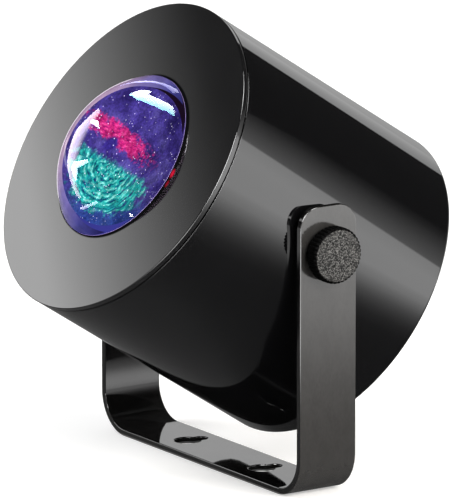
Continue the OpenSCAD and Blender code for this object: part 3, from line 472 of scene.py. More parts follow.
def patternFinish():
    p = patternGlass
    mat, w, bsdf = newMaterial("patterned glass")
    spot = headSpot(w, roundSize("effect_glass")[3])
    x, y, z = w.split(spot)
    ragged = w.calc("SUBTRACT", w.noise(spot, **p["ragged"]), 0.5)

    # share of an oval whose edge the ragged noise breaks up
    def patch(form):
        field = w.calc("SUBTRACT", oval(w, spot, form), w.calc("MULTIPLY", ragged, form["torn"]))
        return w.span(field, *form["span"])

    cloud = w.noise(spot, **p["cloud"])
    fine = w.noise(spot, **p["grain"])
    violet, blue = w.ramp(cloud, *p["violetStops"]), w.ramp(cloud, *p["blueStops"])
    glow = w.blend(w.span(y, *p["blueSpan"]), violet, blue)

    # pink band with a torn edge, and its speckled tail
    drawn = w.add("Mapping", {"Vector": spot, "Rotation": (0, 0, math.radians(p["tearTurn"])),
                              "Scale": p["tearScale"]})
    pink = w.ramp(w.noise(drawn.outputs["Vector"], **p["tear"]), *p["pinkStops"])
    glow = w.blend(patch(p["pink"]), glow, pink)
    dust = w.span(w.noise(spot, **p["dust"]), *p["dustSpan"])
    tail = w.calc("MULTIPLY", patch(p["tail"]), dust)
    glow = w.blend(w.calc("MULTIPLY", tail, p["dustShare"]), glow, pink)

    # teal fan under a nearly straight edge: streaks are noise in the polar coordinates of the swirl
    swirl, edge = p["swirl"], p["tealEdge"]
    dx, dy = (w.calc("SUBTRACT", at, middle) for at, middle in zip((x, y), swirl["middle"]))
    rings = w.calc("MULTIPLY", w.distance(dx, dy), swirl["rings"])
    polar = w.add("CombineXYZ", {"X": w.calc("MULTIPLY_ADD", ragged, swirl["torn"], rings),
                                 "Y": w.calc("MULTIPLY", w.calc("ARCTAN2", dy, dx), swirl["spokes"])})
    streak = w.noise(polar.outputs["Vector"], **p["streak"])
    torn = w.calc("MULTIPLY_ADD", ragged, edge["torn"], y)
    drop = w.calc("SUBTRACT", torn, w.calc("MULTIPLY", x, edge["slope"]))
    below = w.span(drop, edge["top"] + edge["soft"], edge["top"] - edge["soft"])
    broken = w.calc("MAXIMUM", w.span(streak, *p["streakSpan"]), w.span(x, *p["wholeSpan"]))
    fan = w.calc("MULTIPLY", patch(p["teal"]), w.calc("MULTIPLY", below, broken))
    glow = w.blend(fan, glow, w.ramp(streak, *p["tealStops"]))
    glow = w.blend(patch(p["core"]), glow, w.ramp(cloud, *p["coreStops"]))
    across, blotch = w.span(x, *p["sideSpan"]), w.noise(spot, **p["blotch"])
    for at, stops in ((fine, "grainStops"), (across, "sideStops"), (blotch, "blotchStops")):
        glow = w.blend(1.0, glow, w.ramp(at, *p[stops]), "MULTIPLY")

    # fine sparkles: small dots in some of the cells
    sparkle = p["sparkle"]
    cells = w.add("TexVoronoi", {"Vector": spot, "Scale": sparkle["scale"]}).outputs
    dot = w.span(cells["Distance"], *sparkle["dot"])
    some = w.span(w.split(cells["Color"])["X"], *sparkle["some"])
    glow = w.blend(w.calc("MULTIPLY", dot, some), glow, sparkle["color"], "ADD")

    # the wall round the field is black, and blue low down; the rim behind it is lilac on the far side
    wall = w.ramp(w.span(y, *p["wallSpan"]), *p["wallStops"])
    farX, farY = (w.calc("MULTIPLY", at, slope) for at, slope in zip((x, y), p["rimSlope"]))
    rim = w.ramp(w.calc("MULTIPLY_ADD", w.calc("ADD", farX, farY), 0.5, 0.5), *p["rimStops"])
    rimShade = w.ramp(w.noise(spot, **p["rimBlotch"]), *p["rimBlotchStops"])
    rim = w.blend(1.0, rim, rimShade, "MULTIPLY")
    glow = w.blend(w.span(z, *p["wallDepth"]), glow, wall)
    glow = w.blend(w.span(z, *p["rimDepth"]), glow, rim)
    w.fill(bsdf, {"Base Color": p["base"], "Specular IOR Level": 0.0, "Emission Strength": p["glow"],
                  "Emission Color": glow, "Roughness": w.ramp(fine, *p["roughStops"])})
    return mat


finishes["pattern_glass"] = patternFinish()

# painted shade round the lens in the face, where its gloss is cut, wider on one side, with two painted red glints
# glowing there
seatShadeAndGlints = {"ring": {"middle": (1.4, 0.0), "size": (27.1, 27.1), "turn": 0.0}, "soft": 0.02, "gloss": 0.5,
            "glints": ({"middle": (27.5, -0.6), "size": (1.1, 1.9), "turn": 0.0, "share": 1.0},
                       {"middle": (27.4, -4.0), "size": (0.8, 1.6), "turn": -8.0, "share": 0.4}),
            "glintSpan": (0.0, 0.7), "red": (0.62, 0.006, 0.035, 1)}


def paintedSeatFinish():
    mat = faceFinish("black face with painted seat shade and glints")
    w = Wiring(mat.node_tree)
    spot = headSpot(w, roundSize("front_plate")[3])
    outside = w.span(oval(w, spot, seatShadeAndGlints["ring"]), seatShadeAndGlints["soft"], 0.0)
    glints = [w.calc("MULTIPLY", w.span(oval(w, spot, form), *seatShadeAndGlints["glintSpan"]), form["share"])
              for form in seatShadeAndGlints["glints"]]
    # the cut gloss is painted shade, and the red emission is painted glints
    w.fill(mat.node_tree.nodes["Principled BSDF"], {
        "Specular IOR Level": w.calc("MULTIPLY", outside, seatShadeAndGlints["gloss"]),
        "Emission Strength": w.calc("MAXIMUM", *glints), "Emission Color": seatShadeAndGlints["red"]})
    return mat


paintedSeatFace = paintedSeatFinish()
for name, obj in nodes.items():
    obj.data.materials.clear()
    obj.data.materials.append(finishes[slots[name]])
print("finishes made,", len(finishes))

# housing tube with its two pivot pads
housing = {"frontRound": 0.12 * mm, "rearRound": 0.9 * mm, "lip": 0.3 * mm, "segments": 288,
           "padDepth": 4 * mm, "padLip": 0.2 * mm, "padSegments": 96}
holeRadius, headRadius, _, faceDepth = roundSize("front_plate")
tube = toHead(nodePoints("housing"))
tubeFront, tubeRear = tube[:, 2].max(), tube[:, 2].min()
boreRadius = roundSize("rear_cover")[1]
outline = roundedOutline([
    (boreRadius, tubeFront), (headRadius, tubeFront, housing["frontRound"]),
    (headRadius, tubeRear, housing["rearRound"]), (boreRadius, tubeRear, housing["lip"])])
parts = [turnedPiece(outline, housing["segments"])]
padLow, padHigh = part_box("right_friction_washer")
padRadius, padReach = (padHigh[2] - padLow[2]) / 2, np.abs(tube[:, 0]).max()
padLip = housing["padLip"]
padAlong = np.array([headRadius - housing["padDepth"], padReach - padLip, padReach, padReach])
padRound = np.array([padRadius, padRadius, padRadius - padLip, 0.0])
parts += [turnedOnPivot(padRound, padAlong, housing["padSegments"], sign) for sign in (1, -1)]
makePiece("housing_tube", parts, "head", "housing")

# front plate with its rounded rim and shadow seam
frontPlate = {"edgeRound": 0.28 * mm, "rimRound": 0.25 * mm, "holeRound": 0.25 * mm, "rim": 1.7 * mm,
              "seamDepth": 0.9 * mm, "thick": 3 * mm, "segments": 288}
seamRadius, rimBack = headRadius - frontPlate["seamDepth"], faceDepth - frontPlate["rim"]
plateRear = faceDepth - frontPlate["thick"]
outline = roundedOutline([
    (holeRadius, faceDepth, frontPlate["holeRound"]), (headRadius, faceDepth, frontPlate["edgeRound"]),
    (headRadius, rimBack, frontPlate["rimRound"]), (seamRadius, rimBack), (seamRadius, tubeFront),
    (boreRadius, tubeFront), (boreRadius, plateRear), (holeRadius, plateRear)])
facePiece = makePiece("front_face", [turnedPiece(outline, frontPlate["segments"])], "head", "front_plate")
facePiece.data.materials[0] = paintedSeatFace

# dome lens: a ball cap on a short barrel and a flange
lens = {"segments": 256, "rings": 72, "edgeRound": 0.3 * mm, "fit": 0.04 * mm, "backSkin": 0.01 * mm}
_, flangeRadius, lensBack, lensTop = roundSize("front_lens")
lensRadius = holeRadius - lens["fit"]
sag = lensTop - faceDepth
ball = (lensRadius ** 2 + sag ** 2) / (2 * sag)
sweep = np.linspace(0, math.asin(lensRadius / ball), lens["rings"])
cap = np.stack([ball * np.sin(sweep), lensTop - ball + ball * np.cos(sweep)], axis=1)
rest = roundedOutline([
    (lensRadius, faceDepth), (lensRadius, plateRear), (flangeRadius, plateRear, lens["edgeRound"]),
    (flangeRadius, lensBack, lens["edgeRound"]), (0.0, lensBack)])
outline = np.vstack([cap, rest[1:]])
lensParts = [turnedPiece(outline, lens["segments"], closed=False)]
domeLens = makePiece("dome_lens", lensParts, "head", "front_lens")

# clear dome, ground edge and open back by the depth of each face
for mat in (groundEdge, openBack):
    domeLens.data.materials.append(mat)
middles = np.empty(len(domeLens.data.polygons) * 3)
domeLens.data.polygons.foreach_get("center", middles)
depth = toHead(middles.reshape(-1, 3))[:, 2]
zone = np.where(depth > faceDepth, 0, np.where(depth > lensBack + lens["backSkin"], 1, 2))
domeLens.data.polygons.foreach_set("material_index", zone.astype(np.int32))
print("head made")

# thumb knobs: a wall with rounded ribs between two bevelled edges
knob = {"grooves": 40, "depth": 0.45 * mm, "samples": 12, "edge": 1.1 * mm, "edgePoints": 6,
        "inset": 0.2 * mm}
t = np.linspace(0, math.pi / 2, knob["edgePoints"])
bevel, inset = knob["edge"], knob["inset"]
segments = knob["grooves"] * knob["samples"]
ribs = (0.5 + 0.5 * np.cos(np.linspace(0, 2 * math.pi * knob["grooves"], segments, endpoint=False))) ** 2
for which, sign in (("right", 1), ("left", -1)):
    low, high = (np.array(c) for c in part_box(which + "_knob"))
    inner, outer = sorted(abs(v) for v in (low[0], high[0]))
    radius = (high[2] - low[2]) / 2
    flat = radius - bevel
    r = np.concatenate([[0, flat - inset], flat + bevel * np.sin(t), flat + bevel * np.cos(t),
                        [flat - inset, 0]])
    x = np.concatenate([[outer, outer], outer - bevel + bevel * np.cos(t), inner + bevel - bevel * np.sin(t),
                        [inner, inner]])
    share = np.clip((r - flat) / bevel, 0, 1)[:, None]
    makePiece(which + "_thumb_knob", [turnedOnPivot(r, x, segments, sign, knob["depth"] * share * ribs)],
              which + "_knob", which + "_knob")
print("knobs made")

# bracket strap: flat patches with their holes, wrapped on a U and given thickness
strap = {"bend": 10.4 * mm, "corner": 6.5 * mm, "thick": 2 * mm, "edge": 0.45 * mm,
         "edgeSteps": 4, "edgeAngle": 40.0,
         "across": 20, "baseSteps": (6, 5), "bendSteps": 28, "armSteps": 12,
         "keyGap": 40 * mm, "keyAhead": 0.8 * mm, "keyEntry": 4 * mm, "keySlot": 2.2 * mm,
         "keyRun": 4.6 * mm, "keyCell": 8 * mm, "pivotHole": 2.7 * mm, "pivotCell": 11 * mm}
low, high = (np.array(c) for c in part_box("u_bracket"))
strapHalf = (high[1] - low[1]) / 2
middle = strap["bend"] + strap["thick"] / 2
flatHalf = high[0] - strap["thick"] - strap["bend"]
armStart = flatHalf + middle * math.pi / 2
armFoot = strap["thick"] / 2 + middle
pivotAt, armEnd = armStart + pivot[2] - armFoot, armStart + high[2] - armFoot
across = np.linspace(-strapHalf, strapHalf, strap["across"] + 1)


# strap coordinates (run, across) to space: flat base, a quarter bend each side, upright arms
def wrapStrap(p):
    s = np.abs(p[:, 0])
    bend = np.clip((s - flatHalf) / middle, 0, math.pi / 2)
    x = np.minimum(s, flatHalf) + middle * np.sin(bend)
    z = armFoot - middle * np.cos(bend) + np.maximum(s - armStart, 0)
    return np.stack([np.sign(p[:, 0]) * x, p[:, 1], z], axis=1)


def strip(start, end, steps):
    s, y = np.meshgrid(np.linspace(start, end, steps + 1), across, indexing="ij")
    return np.stack([s.ravel(), y.ravel()], axis=1), gridFaces(steps + 1, len(across))


# rows that run from a hole's edge, at a reach given by the angle, to the cell's edge
def holeCell(centre, edge, reach, steps=8):
    d = edge - centre
    angle = np.arctan2(d[:, 1], d[:, 0])
    hole = centre + reach(angle)[:, None] * np.stack([np.cos(angle), np.sin(angle)], axis=1)
    t = np.linspace(0, 1, steps + 1)[:, None, None]
    return (hole * (1 - t) + edge * t).reshape(-1, 2), gridFaces(steps + 1, len(edge), wrapCols=True)


def joinLines(*lines):
    return np.vstack([np.stack(np.broadcast_arrays(s, y), axis=1)[:-1] for s, y in lines])


# closed outline of a square cell, and of the arm's end with its rounded corners
def cellEdge(start, end, steps=30):
    run = np.linspace(start, end, steps + 1)
    return joinLines((end, across), (run[::-1], strapHalf), (start, across[::-1]), (run, -strapHalf))


def armEdge(start, end, steps=16, topSteps=12, cornerSteps=24):
    c = strap["corner"]
    run = np.linspace(start, end - c, steps + 1)
    top = np.linspace(c - strapHalf, strapHalf - c, topSteps + 1)
    t = np.linspace(0, math.pi / 2, cornerSteps + 1)
    return joinLines((run, -strapHalf), (end - c + c * np.sin(t), c - strapHalf - c * np.cos(t)), (end, top),
                     (end - c + c * np.cos(t), strapHalf - c + c * np.sin(t)), (run[::-1], strapHalf),
                     (start, across[::-1]))


# distance from the entry's centre to the keyhole's edge; the slot runs towards +y
def keyReach(angle):
    a, b = np.abs(np.cos(angle)), np.sin(angle)
    w, run = strap["keySlot"], strap["keyRun"]
    tiny = 1e-6
    wall = w / np.maximum(a, tiny)
    end = run * b + np.sqrt(np.maximum(w ** 2 - (run * a) ** 2, 0))
    slot = np.where(wall * b < run, wall, end)
    return np.where(b > 0, np.maximum(strap["keyEntry"], slot), strap["keyEntry"])


def pivotReach(angle):
    return np.full(len(angle), strap["pivotHole"])


keyAt, cell = strap["keyGap"] / 2, strap["keyCell"]
armCell = pivotAt - strap["pivotCell"]
patches = [
    strip(0, keyAt - cell, strap["baseSteps"][0]),
    holeCell(np.array([keyAt, -strap["keyAhead"]]), cellEdge(keyAt - cell, keyAt + cell), keyReach),
    strip(keyAt + cell, flatHalf, strap["baseSteps"][1]),
    strip(flatHalf, armStart, strap["bendSteps"]),
    strip(armStart, armCell, strap["armSteps"]),
    holeCell(np.array([pivotAt, 0.0]), armEdge(armCell, armEnd), pivotReach)]
parts = [(wrapStrap(p), f) for p, f in patches]
parts += [(v * np.array([-1, 1, 1]), f[:, ::-1]) for v, f in parts]
strapPiece = makePiece("bracket_strap", parts, "bracket", "u_bracket")
# the inside and the edges get the darker copy of the paint: partly glossier paint, partly painted shade
strapPiece.data.materials.append(shadedInsidePaint)

# the sheet's outer side has to face outwards before it gets its thickness
facing, at = (np.empty(len(strapPiece.data.polygons) * 3) for _ in range(2))
strapPiece.data.polygons.foreach_get("normal", facing)
strapPiece.data.polygons.foreach_get("center", at)
if facing[::3] @ np.sign(at[::3]) < 0:
    strapPiece.data.flip_normals()
thick = strapPiece.modifiers.new("thickness", "SOLIDIFY")
thick.thickness = strap["thick"]
thick.offset = 0
thick.material_offset = 1
thick.material_offset_rim = 1
soften = strapPiece.modifiers.new("soft edges", "BEVEL")
soften.width = strap["edge"]
soften.segments = strap["edgeSteps"]
soften.limit_method = "ANGLE"
soften.angle_limit = math.radians(strap["edgeAngle"])
soften.harden_normals = True
print("bracket made")

# stage: pale floor and white surround; dark cloth and bright cards that only reflections see
stage = {"floorHalf": 12.0, "floorColor": 0.85, "floorLift": 0.3, "bandTop": 15.0, "zenith": 90.0,
         "domeLow": -3.0, "reach": 6.0, "cloth": 0.03}


def hideFromView(obj):
    obj.visible_camera = False
    obj.visible_diffuse = False
    obj.visible_shadow = False
    obj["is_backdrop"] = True
    return obj


def newSheet(name, points, faces, material):
    mesh = bpy.data.meshes.new(name)
    mesh.from_pydata(np.asarray(points).tolist(), [], np.asarray(faces).tolist())
    mesh.materials.append(material)
    obj = bpy.data.objects.new(name, mesh)
    bpy.context.scene.collection.objects.link(obj)
    return obj


# corners of a flat card: its middle plus and minus two half sides
def newCard(name, middle, u, v, material):
    corners = np.array([middle - u - v, middle + u - v, middle + u + v, middle - u + v])
    return newSheet(name, corners, [range(4)], material)


def levelCard(name, half, height, material):
    return newCard(name, upright * height, side * half, np.cross(upright, side) * half, material)


def glowMaterial(name):
    mat = bpy.data.materials.new(name)
    mat.use_nodes = True
    mat.node_tree.nodes.clear()
    w = Wiring(mat.node_tree)
    glow = w.add("Emission")
    out = w.add("OutputMaterial", {"Surface": glow.outputs["Emission"]})
    return mat, w, glow, out


def mixShaders(w, out, share, first, second):
    mix = w.add("MixShader", {"Fac": share})
    w.put(mix.inputs[1], first)
    w.put(mix.inputs[2], second)
    w.put(out.inputs["Surface"], mix.outputs["Shader"])


# the dome is the one fully polished surface, so a singular ray tells its mirror image from the satin gloss
def notForDome(w, glow, out):
    dim = w.add("Emission", {"Strength": stage["cloth"]})
    singular = w.add("LightPath").outputs["Is Singular Ray"]
    mixShaders(w, out, singular, glow.outputs["Emission"], dim.outputs["Emission"])


def onlyForDome(w, glow, out):
    singular = w.add("LightPath").outputs["Is Singular Ray"]
    mixShaders(w, out, singular, w.add("BsdfTransparent").outputs["BSDF"], glow.outputs["Emission"])


# a card that is there for the rays whose slant lies in a range: 0 is square on, 1 along the card
def onlyWithin(w, glow, out, gone, there):
    share = w.span(w.add("LayerWeight").outputs["Facing"], gone, there)
    mixShaders(w, out, share, w.add("BsdfTransparent").outputs["BSDF"], glow.outputs["Emission"])


def floorFinish():
    mat, w, bsdf = newMaterial("pale floor")
    w.fill(bsdf, {"Base Color": (stage["floorColor"],) * 3 + (1,), "Roughness": 1.0,
                  "Specular IOR Level": 0.0, "Emission Color": (1, 1, 1, 1),
                  "Emission Strength": stage["floorLift"]})
    return mat


levelCard("floor", stage["floorHalf"], 0.0, floorFinish())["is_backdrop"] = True


# zone of a ball round the lamp: radius times (cos lift cos turn, cos lift sin turn, sin lift)
def ballZone(low, high, rows=16, cols=96):
    lift = np.linspace(math.radians(low), math.radians(high), rows)[:, None]
    turn = np.linspace(0, 2 * math.pi, cols, endpoint=False)
    grid = np.broadcast_arrays(np.cos(lift) * np.cos(turn), np.cos(lift) * np.sin(turn), np.sin(lift))
    points = np.stack(grid, axis=-1).reshape(-1, 3) * stage["reach"] + upright * pivot[2]
    return points, gridFaces(rows, cols, wrapCols=True)


# dark cloth above the white band; the dome sees it down to the floor
for name, low, high in (("dark_cloth", stage["bandTop"], stage["zenith"]),
                        ("dome_cloth", stage["domeLow"], stage["bandTop"])):
    mat, w, glow, out = glowMaterial(name)
    w.put(glow.inputs["Strength"], stage["cloth"])
    if name == "dome_cloth":
        onlyForDome(w, glow, out)
    hideFromView(newSheet(name, *ballZone(low, high), mat))

# what the gloss sees of the floor, by distance from the middle: to the right, elsewhere, bright in front,
# a graded patch behind the base for slanting rays; the dark near the middle and the black under the strap are
# painted shadow
glossFloorShading = {"half": 1.7, "height": 0.6 * mm, "span": 0.6, "bright": 8.0,
            "right": (0.84, 0.54), "rightSpan": (0.1, 0.8),
            "rightStops": ((0.1, 0.08), (0.13, 0.1), (0.157, 0.2), (0.183, 0.4), (0.223, 0.8), (0.29, 1.6),
                           (0.37, 2.3), (0.6, 3.0)),
            "leftStops": ((0.0, 0.15), (0.08, 0.15), (0.2, 0.17), (0.33, 0.28), (0.5, 0.45)),
            "front": (0.75, -0.66), "frontSpan": (0.85, 0.97), "frontReach": (0.16, 0.24),
            "patchDepth": (11 * mm, 13 * mm, 60 * mm, 75 * mm), "patchLeft": -30 * mm, "patchSpan": 80 * mm,
            "patchFade": 2 * mm, "patchSlant": (0.62, 0.74), "rimSlant": (0.775, 0.8), "patchRim": 1.05,
            "patchStops": ((-22, 0.5), (-14, 1.05), (-8, 1.8), (-4, 2.2), (0, 2.1), (3.5, 1.6), (7, 1.1),
                           (11, 0.65), (18, 0.36), (22, 0.0)),
            "under": (9.5 * mm, 9.025 * mm), "underReach": (40 * mm, 30 * mm), "least": 1 * mm}


def glossFloorFinish():
    m = glossFloorShading
    mat, w, glow, out = glowMaterial("gloss floor with painted shadow")
    across, along, _ = w.split(w.place())
    away = w.distance(across, along)

    # share of a direction from the middle: its cosine, spread over a span
    def facing(direction, span):
        u, v = (w.calc("MULTIPLY", at, part) for at, part in zip((across, along), direction))
        return w.span(w.calc("DIVIDE", w.calc("ADD", u, v), w.calc("MAXIMUM", away, m["least"])), *span)

    def shades(stops):
        shares = [(d / m["span"], v / m["bright"]) for d, v in stops]
        return w.ramp(w.calc("DIVIDE", away, m["span"]), *shares)

    shade = w.blend(facing(m["right"], m["rightSpan"]), shades(m["leftStops"]), shades(m["rightStops"]))
    lit = w.calc("MULTIPLY", facing(m["front"], m["frontSpan"]), w.span(away, *m["frontReach"]))
    shade = w.blend(lit, shade, (1, 1, 1, 1))
    start, full, fade, end = m["patchDepth"]
    patchRight = m["patchLeft"] + m["patchSpan"]
    patch = w.calc("MULTIPLY", w.span(along, start, full), w.span(along, end, fade))
    patch = w.calc("MULTIPLY", patch, w.span(across, patchRight, patchRight - m["patchFade"]))
    slant = w.add("LayerWeight").outputs["Facing"]
    patch = w.calc("MULTIPLY", patch, w.span(slant, *m["patchSlant"]))
    at = w.calc("DIVIDE", w.calc("SUBTRACT", across, m["patchLeft"]), m["patchSpan"])
    shares = [((x * mm - m["patchLeft"]) / m["patchSpan"], v / m["bright"]) for x, v in m["patchStops"]]
    rim = (m["patchRim"] / m["bright"],) * 3 + (1,)
    shade = w.blend(patch, shade, w.blend(w.span(slant, *m["rimSlant"]), w.ramp(at, *shares), rim))
    # black under the strap: painted shadow
    under = w.span(w.calc("ABSOLUTE", along), *m["under"])
    under = w.calc("MULTIPLY", under, w.span(away, *m["underReach"]))
    w.fill(glow, {"Color": w.blend(under, shade, (0, 0, 0, 1)), "Strength": m["bright"]})
    notForDome(w, glow, out)
    return mat


hideFromView(levelCard("gloss_floor_card", glossFloorShading["half"], glossFloorShading["height"], glossFloorFinish()))

# upright cloths on arcs round the lamp: top in degrees of lift, glow by azimuth from +Y towards +X
arcCloths = {
    "right_cloth": {"distance": 1.65, "top": 20.0,
                    "stops": ((18, 0.05), (22, 0.14), (28, 0.4), (34, 0.75), (37.0, 1.0), (37.7, 2.6),
                              (44, 3.0), (62, 3.0), (80, 1.4))},
    "back_cloth": {"distance": 1.66, "top": 7.0, "stops": ((-80, 0.85), (-25, 0.85)), "footShare": 0.6}}


def arcCloth(name, distance, top, stops, footShare=1.0, cols=33):
    start, end = stops[0][0], stops[-1][0]
    turns = np.radians(np.linspace(start, end, cols))
    heights = np.array([[0.0], [distance * math.tan(math.radians(top)) + pivot[2]]])
    grid = np.broadcast_arrays(distance * np.sin(turns), distance * np.cos(turns), heights)
    mat, w, glow, out = glowMaterial(name)
    u, v, _ = w.split(w.add("UVMap").outputs["UV"])
    bright = max(value for at, value in stops)
    shares = [((at - start) / (end - start), value / bright) for at, value in stops]
    foot = w.add("MapRange", {"Value": v, "To Min": footShare * bright, "To Max": bright})
    w.fill(glow, {"Color": w.ramp(u, *shares), "Strength": foot.outputs["Result"]})
    notForDome(w, glow, out)
    faces = gridFaces(2, cols)
    obj = newSheet(name, np.stack(grid, axis=-1).reshape(-1, 3), faces, mat)
    corner = faces.ravel()
    uv = np.stack([corner % cols / (cols - 1), corner // cols], axis=1).astype(np.float32)
    obj.data.uv_layers.new(name="UVMap").data.foreach_set("uv", uv.ravel())
    return hideFromView(obj)


for name, form in arcCloths.items():
    arcCloth(name, **form)

# dark card that widens the head's mirror image in the base: its outline there in millimetres
baseShade = {"outline": ((7.5, -11.5), (5.5, -5.6), (5.7, -2.3), (8.9, -1.4), (15.8, -2.2), (24.7, -1.6),
                         (34.3, -3.7), (41.0, -5.6), (44.0, -9.0), (43.5, -11.5)),
             "reach": 20 * mm, "slant": (0.6, 0.7)}
spots = np.array([(x * mm, y * mm, strap["thick"]) for x, y in baseShade["outline"]])
look = unit(cameraAt - spots) * np.array([-1.0, -1.0, 1.0])
shadeGlow, w, glow, out = glowMaterial("base shade")
w.put(glow.inputs["Strength"], 0.0)
onlyWithin(w, glow, out, *baseShade["slant"])
hideFromView(newSheet("base_shade", spots + look * baseShade["reach"], [range(len(spots))], shadeGlow))

# black flag beside the near knob, which keeps stray light from the arm there
flag = {"middle": (56.75 * mm, -11.2 * mm, 73 * mm), "halfWidth": 4.25 * mm, "halfHeight": 11 * mm}
flagBlack, w, glow, out = glowMaterial("knob flag")
w.put(glow.inputs["Strength"], 0.0)
knobFlag = hideFromView(newCard("knob_flag", np.array(flag["middle"]), side * flag["halfWidth"],
                                upright * flag["halfHeight"], flagBlack))
knobFlag.visible_diffuse = True
knobFlag.visible_shadow = True
knobFlag.visible_glossy = False

# small graded cloth behind the base, which the far arm's bend mirrors
bendCloth = {"middle": (32 * mm, 53 * mm), "half": 16 * mm, "low": 1 * mm, "high": 75 * mm,
             "slant": (0.3, 0.15),
             "stops": ((0.0, 1.0), (0.12, 0.55), (0.27, 0.18), (0.42, 0.04), (0.6, 0.0))}
clothLow, clothHigh = bendCloth["low"], bendCloth["high"]
clothGlow, w, glow, out = glowMaterial("bend cloth")
lift = w.span(w.split(w.place())["Z"], clothLow, clothHigh, smooth=False)
w.put(glow.inputs["Strength"], w.ramp(lift, *bendCloth["stops"]))
onlyWithin(w, glow, out, *bendCloth["slant"])
hideFromView(newCard("bend_cloth", np.array([*bendCloth["middle"], (clothLow + clothHigh) / 2]),
                     unit(np.array([-back[1], -back[0], 0.0])) * bendCloth["half"],
                     upright * (clothHigh - clothLow) / 2, clothGlow))

# graded card parallel to the front plate, where the plate's gloss looks
faceCard = {"distance": 0.3, "half": 0.14, "turn": 51.0, "dim": 0.1, "bright": 3.5, "from": 44 * mm,
            "to": -46 * mm, "ease": 1.75}
mirrored = 2 * (beam @ back) * beam - back
grade = math.radians(faceCard["turn"])
dark = side * math.cos(grade) + headUp * math.sin(grade)
centre = pivot + beam * faceDepth + mirrored * faceCard["distance"]
cardGlow, w, glow, out = glowMaterial("face card")
here = centre @ dark
fall = w.span(w.vector("DOT_PRODUCT", w.place(), tuple(dark), result="Value"), here + faceCard["from"],
              here + faceCard["to"], smooth=False)
eased = w.calc("POWER", fall, faceCard["ease"])
w.put(glow.inputs["Strength"], w.calc("MULTIPLY_ADD", eased, faceCard["bright"], faceCard["dim"]))
notForDome(w, glow, out)
hideFromView(newCard("face_card", centre, dark * faceCard["half"], np.cross(beam, dark) * faceCard["half"],
                     cardGlow))

# windows for the rounded edges, beside the camera and above: each square to its line from the tilt axis
windows = {"side_window": {"towards": (0.56, -0.52, 0.64), "half": 0.18, "glow": 22.0},
           "top_window": {"towards": (0.36, 0.2, 0.91), "half": 0.13, "glow": 18.0}}
windowDistance, flatDepth = 0.6, 0.002 * mm


# 1 for a ray that starts on the front plate's flat face: its start's depth along the beam is the card's own,
# less the ray's length times its cosine to the beam
def fromFlatFront(w):
    axis = w.add("CombineXYZ", dict(zip("XYZ", beam))).outputs["Vector"]
    cosine = w.calc("SUBTRACT", 1.0, w.add("LayerWeight", {"Normal": axis}).outputs["Facing"])
    drop = w.calc("MULTIPLY", cosine, w.add("LightPath").outputs["Ray Length"])
    here = w.vector("DOT_PRODUCT", w.place(), tuple(beam), result="Value")
    return w.calc("GREATER_THAN", w.calc("SUBTRACT", here, drop), pivot @ beam + faceDepth - flatDepth)


for name, form in windows.items():
    aimed = unit(np.array(form["towards"]))
    flat = unit(np.cross(upright, aimed)) * form["half"]
    windowGlow, w, glow, out = glowMaterial(name)
    values = {"Value": fromFlatFront(w), "To Min": form["glow"], "To Max": stage["cloth"]}
    w.put(glow.inputs["Strength"], w.add("MapRange", values).outputs["Result"])
    notForDome(w, glow, out)
    hideFromView(newCard(name, pivot + aimed * windowDistance, flat, np.cross(aimed, flat), windowGlow))

# the dome's highlights: rows of points on the dome in millimetres, and the glow along each row
highlights = {
    "chevron": (((3.5, 17.2), (7.1, 18.3), (10.4, 18.3), (13.3, 18.2), (16.1, 18.0), (17.7, 16.7)),
                ((3.2, 15.9), (7.7, 15.3), (11.8, 15.4), (14.6, 15.4), (17.1, 15.6), (18.9, 15.3))),
    "chevron_top": (((3.5, 17.2), (4.5, 18.7), (5.9, 19.4), (7.7, 19.7)),
                    ((6.2, 16.1), (7.1, 17.1), (7.6, 18.3), (7.8, 19.3))),
    "spot": (((-2.5, 4.1), (-1.1, 4.8), (1.3, 4.8)), ((-1.4, 3.4), (1.3, 3.0), (4.1, 2.6))),
    "hook": (((-2.2, -9.0), (-2.5, -10.9), (-1.2, -12.4), (0.9, -13.8)),
             ((-0.3, -8.5), (0.8, -10.3), (1.4, -12.0), (1.2, -13.6))),
    "hook_arm": (((-0.2, -8.7), (1.8, -7.9), (4.4, -6.9)), ((0.8, -10.3), (3.2, -9.0), (5.1, -7.9))),
    "low_line": (((3.0, -20.1), (6.8, -18.5), (10.2, -16.8)), ((3.1, -20.8), (7.0, -19.2), (10.3, -17.4))),
    "dot": (((19.3, -16.0), (20.3, -16.0)), ((19.3, -16.8), (20.3, -16.8))),
    "top_arc": (((-6.7, 18.8), (-0.9, 22.2), (6.6, 24.4), (12.3, 23.2)),
                ((-6.2, 17.7), (-0.5, 21.0), (6.2, 23.1), (11.6, 22.0))),
    "sheen": (((-2.9, 8.7), (-4.8, 4.6), (-7.4, 0.0), (-6.8, -5.3), (-5.8, -9.4), (-2.8, -13.4),
               (2.9, -18.1)),
              ((-1.2, 7.8), (-1.8, 4.2), (-2.6, -0.5), (-2.2, -4.9), (-1.9, -8.8), (-0.2, -13.0),
               (3.7, -17.8)),
              ((-0.3, 7.3), (-0.3, 4.0), (-0.2, -0.7), (0.0, -4.8), (0.1, -8.6), (1.0, -12.8),
               (4.1, -17.6)))}
highlightGlow = {"chevron": ((22, 22, 22), (7, 18, 21)), "chevron_top": ((22, 22, 22), (20, 21, 22)),
                 "spot": ((22, 22, 22), (20, 19, 21)), "hook": ((20, 20, 20), (12, 16, 17)),
                 "hook_arm": ((18, 20, 20), (12, 16, 17)), "low_line": ((11, 11, 13), (7, 7, 9)),
                 "dot": ((22, 22, 22), (22, 22, 22)), "top_arc": ((6, 6, 8), (2, 2, 4)),
                 "edge": ((2.4, 2.3, 2.4), (0.8, 0.75, 0.85)),
                 "sheen": ((8.5, 7.5, 8.5), (6.5, 5.8, 6.3), (0.2, 0.2, 0.2))}
highlightReach = {"sheen": 0.12, "edge": 0.006, "others": 0.1}
domeEdge = {"cosines": (-0.025, 0.135), "from": (42.0, 50.0), "to": (137.3, 129.1), "points": 11}


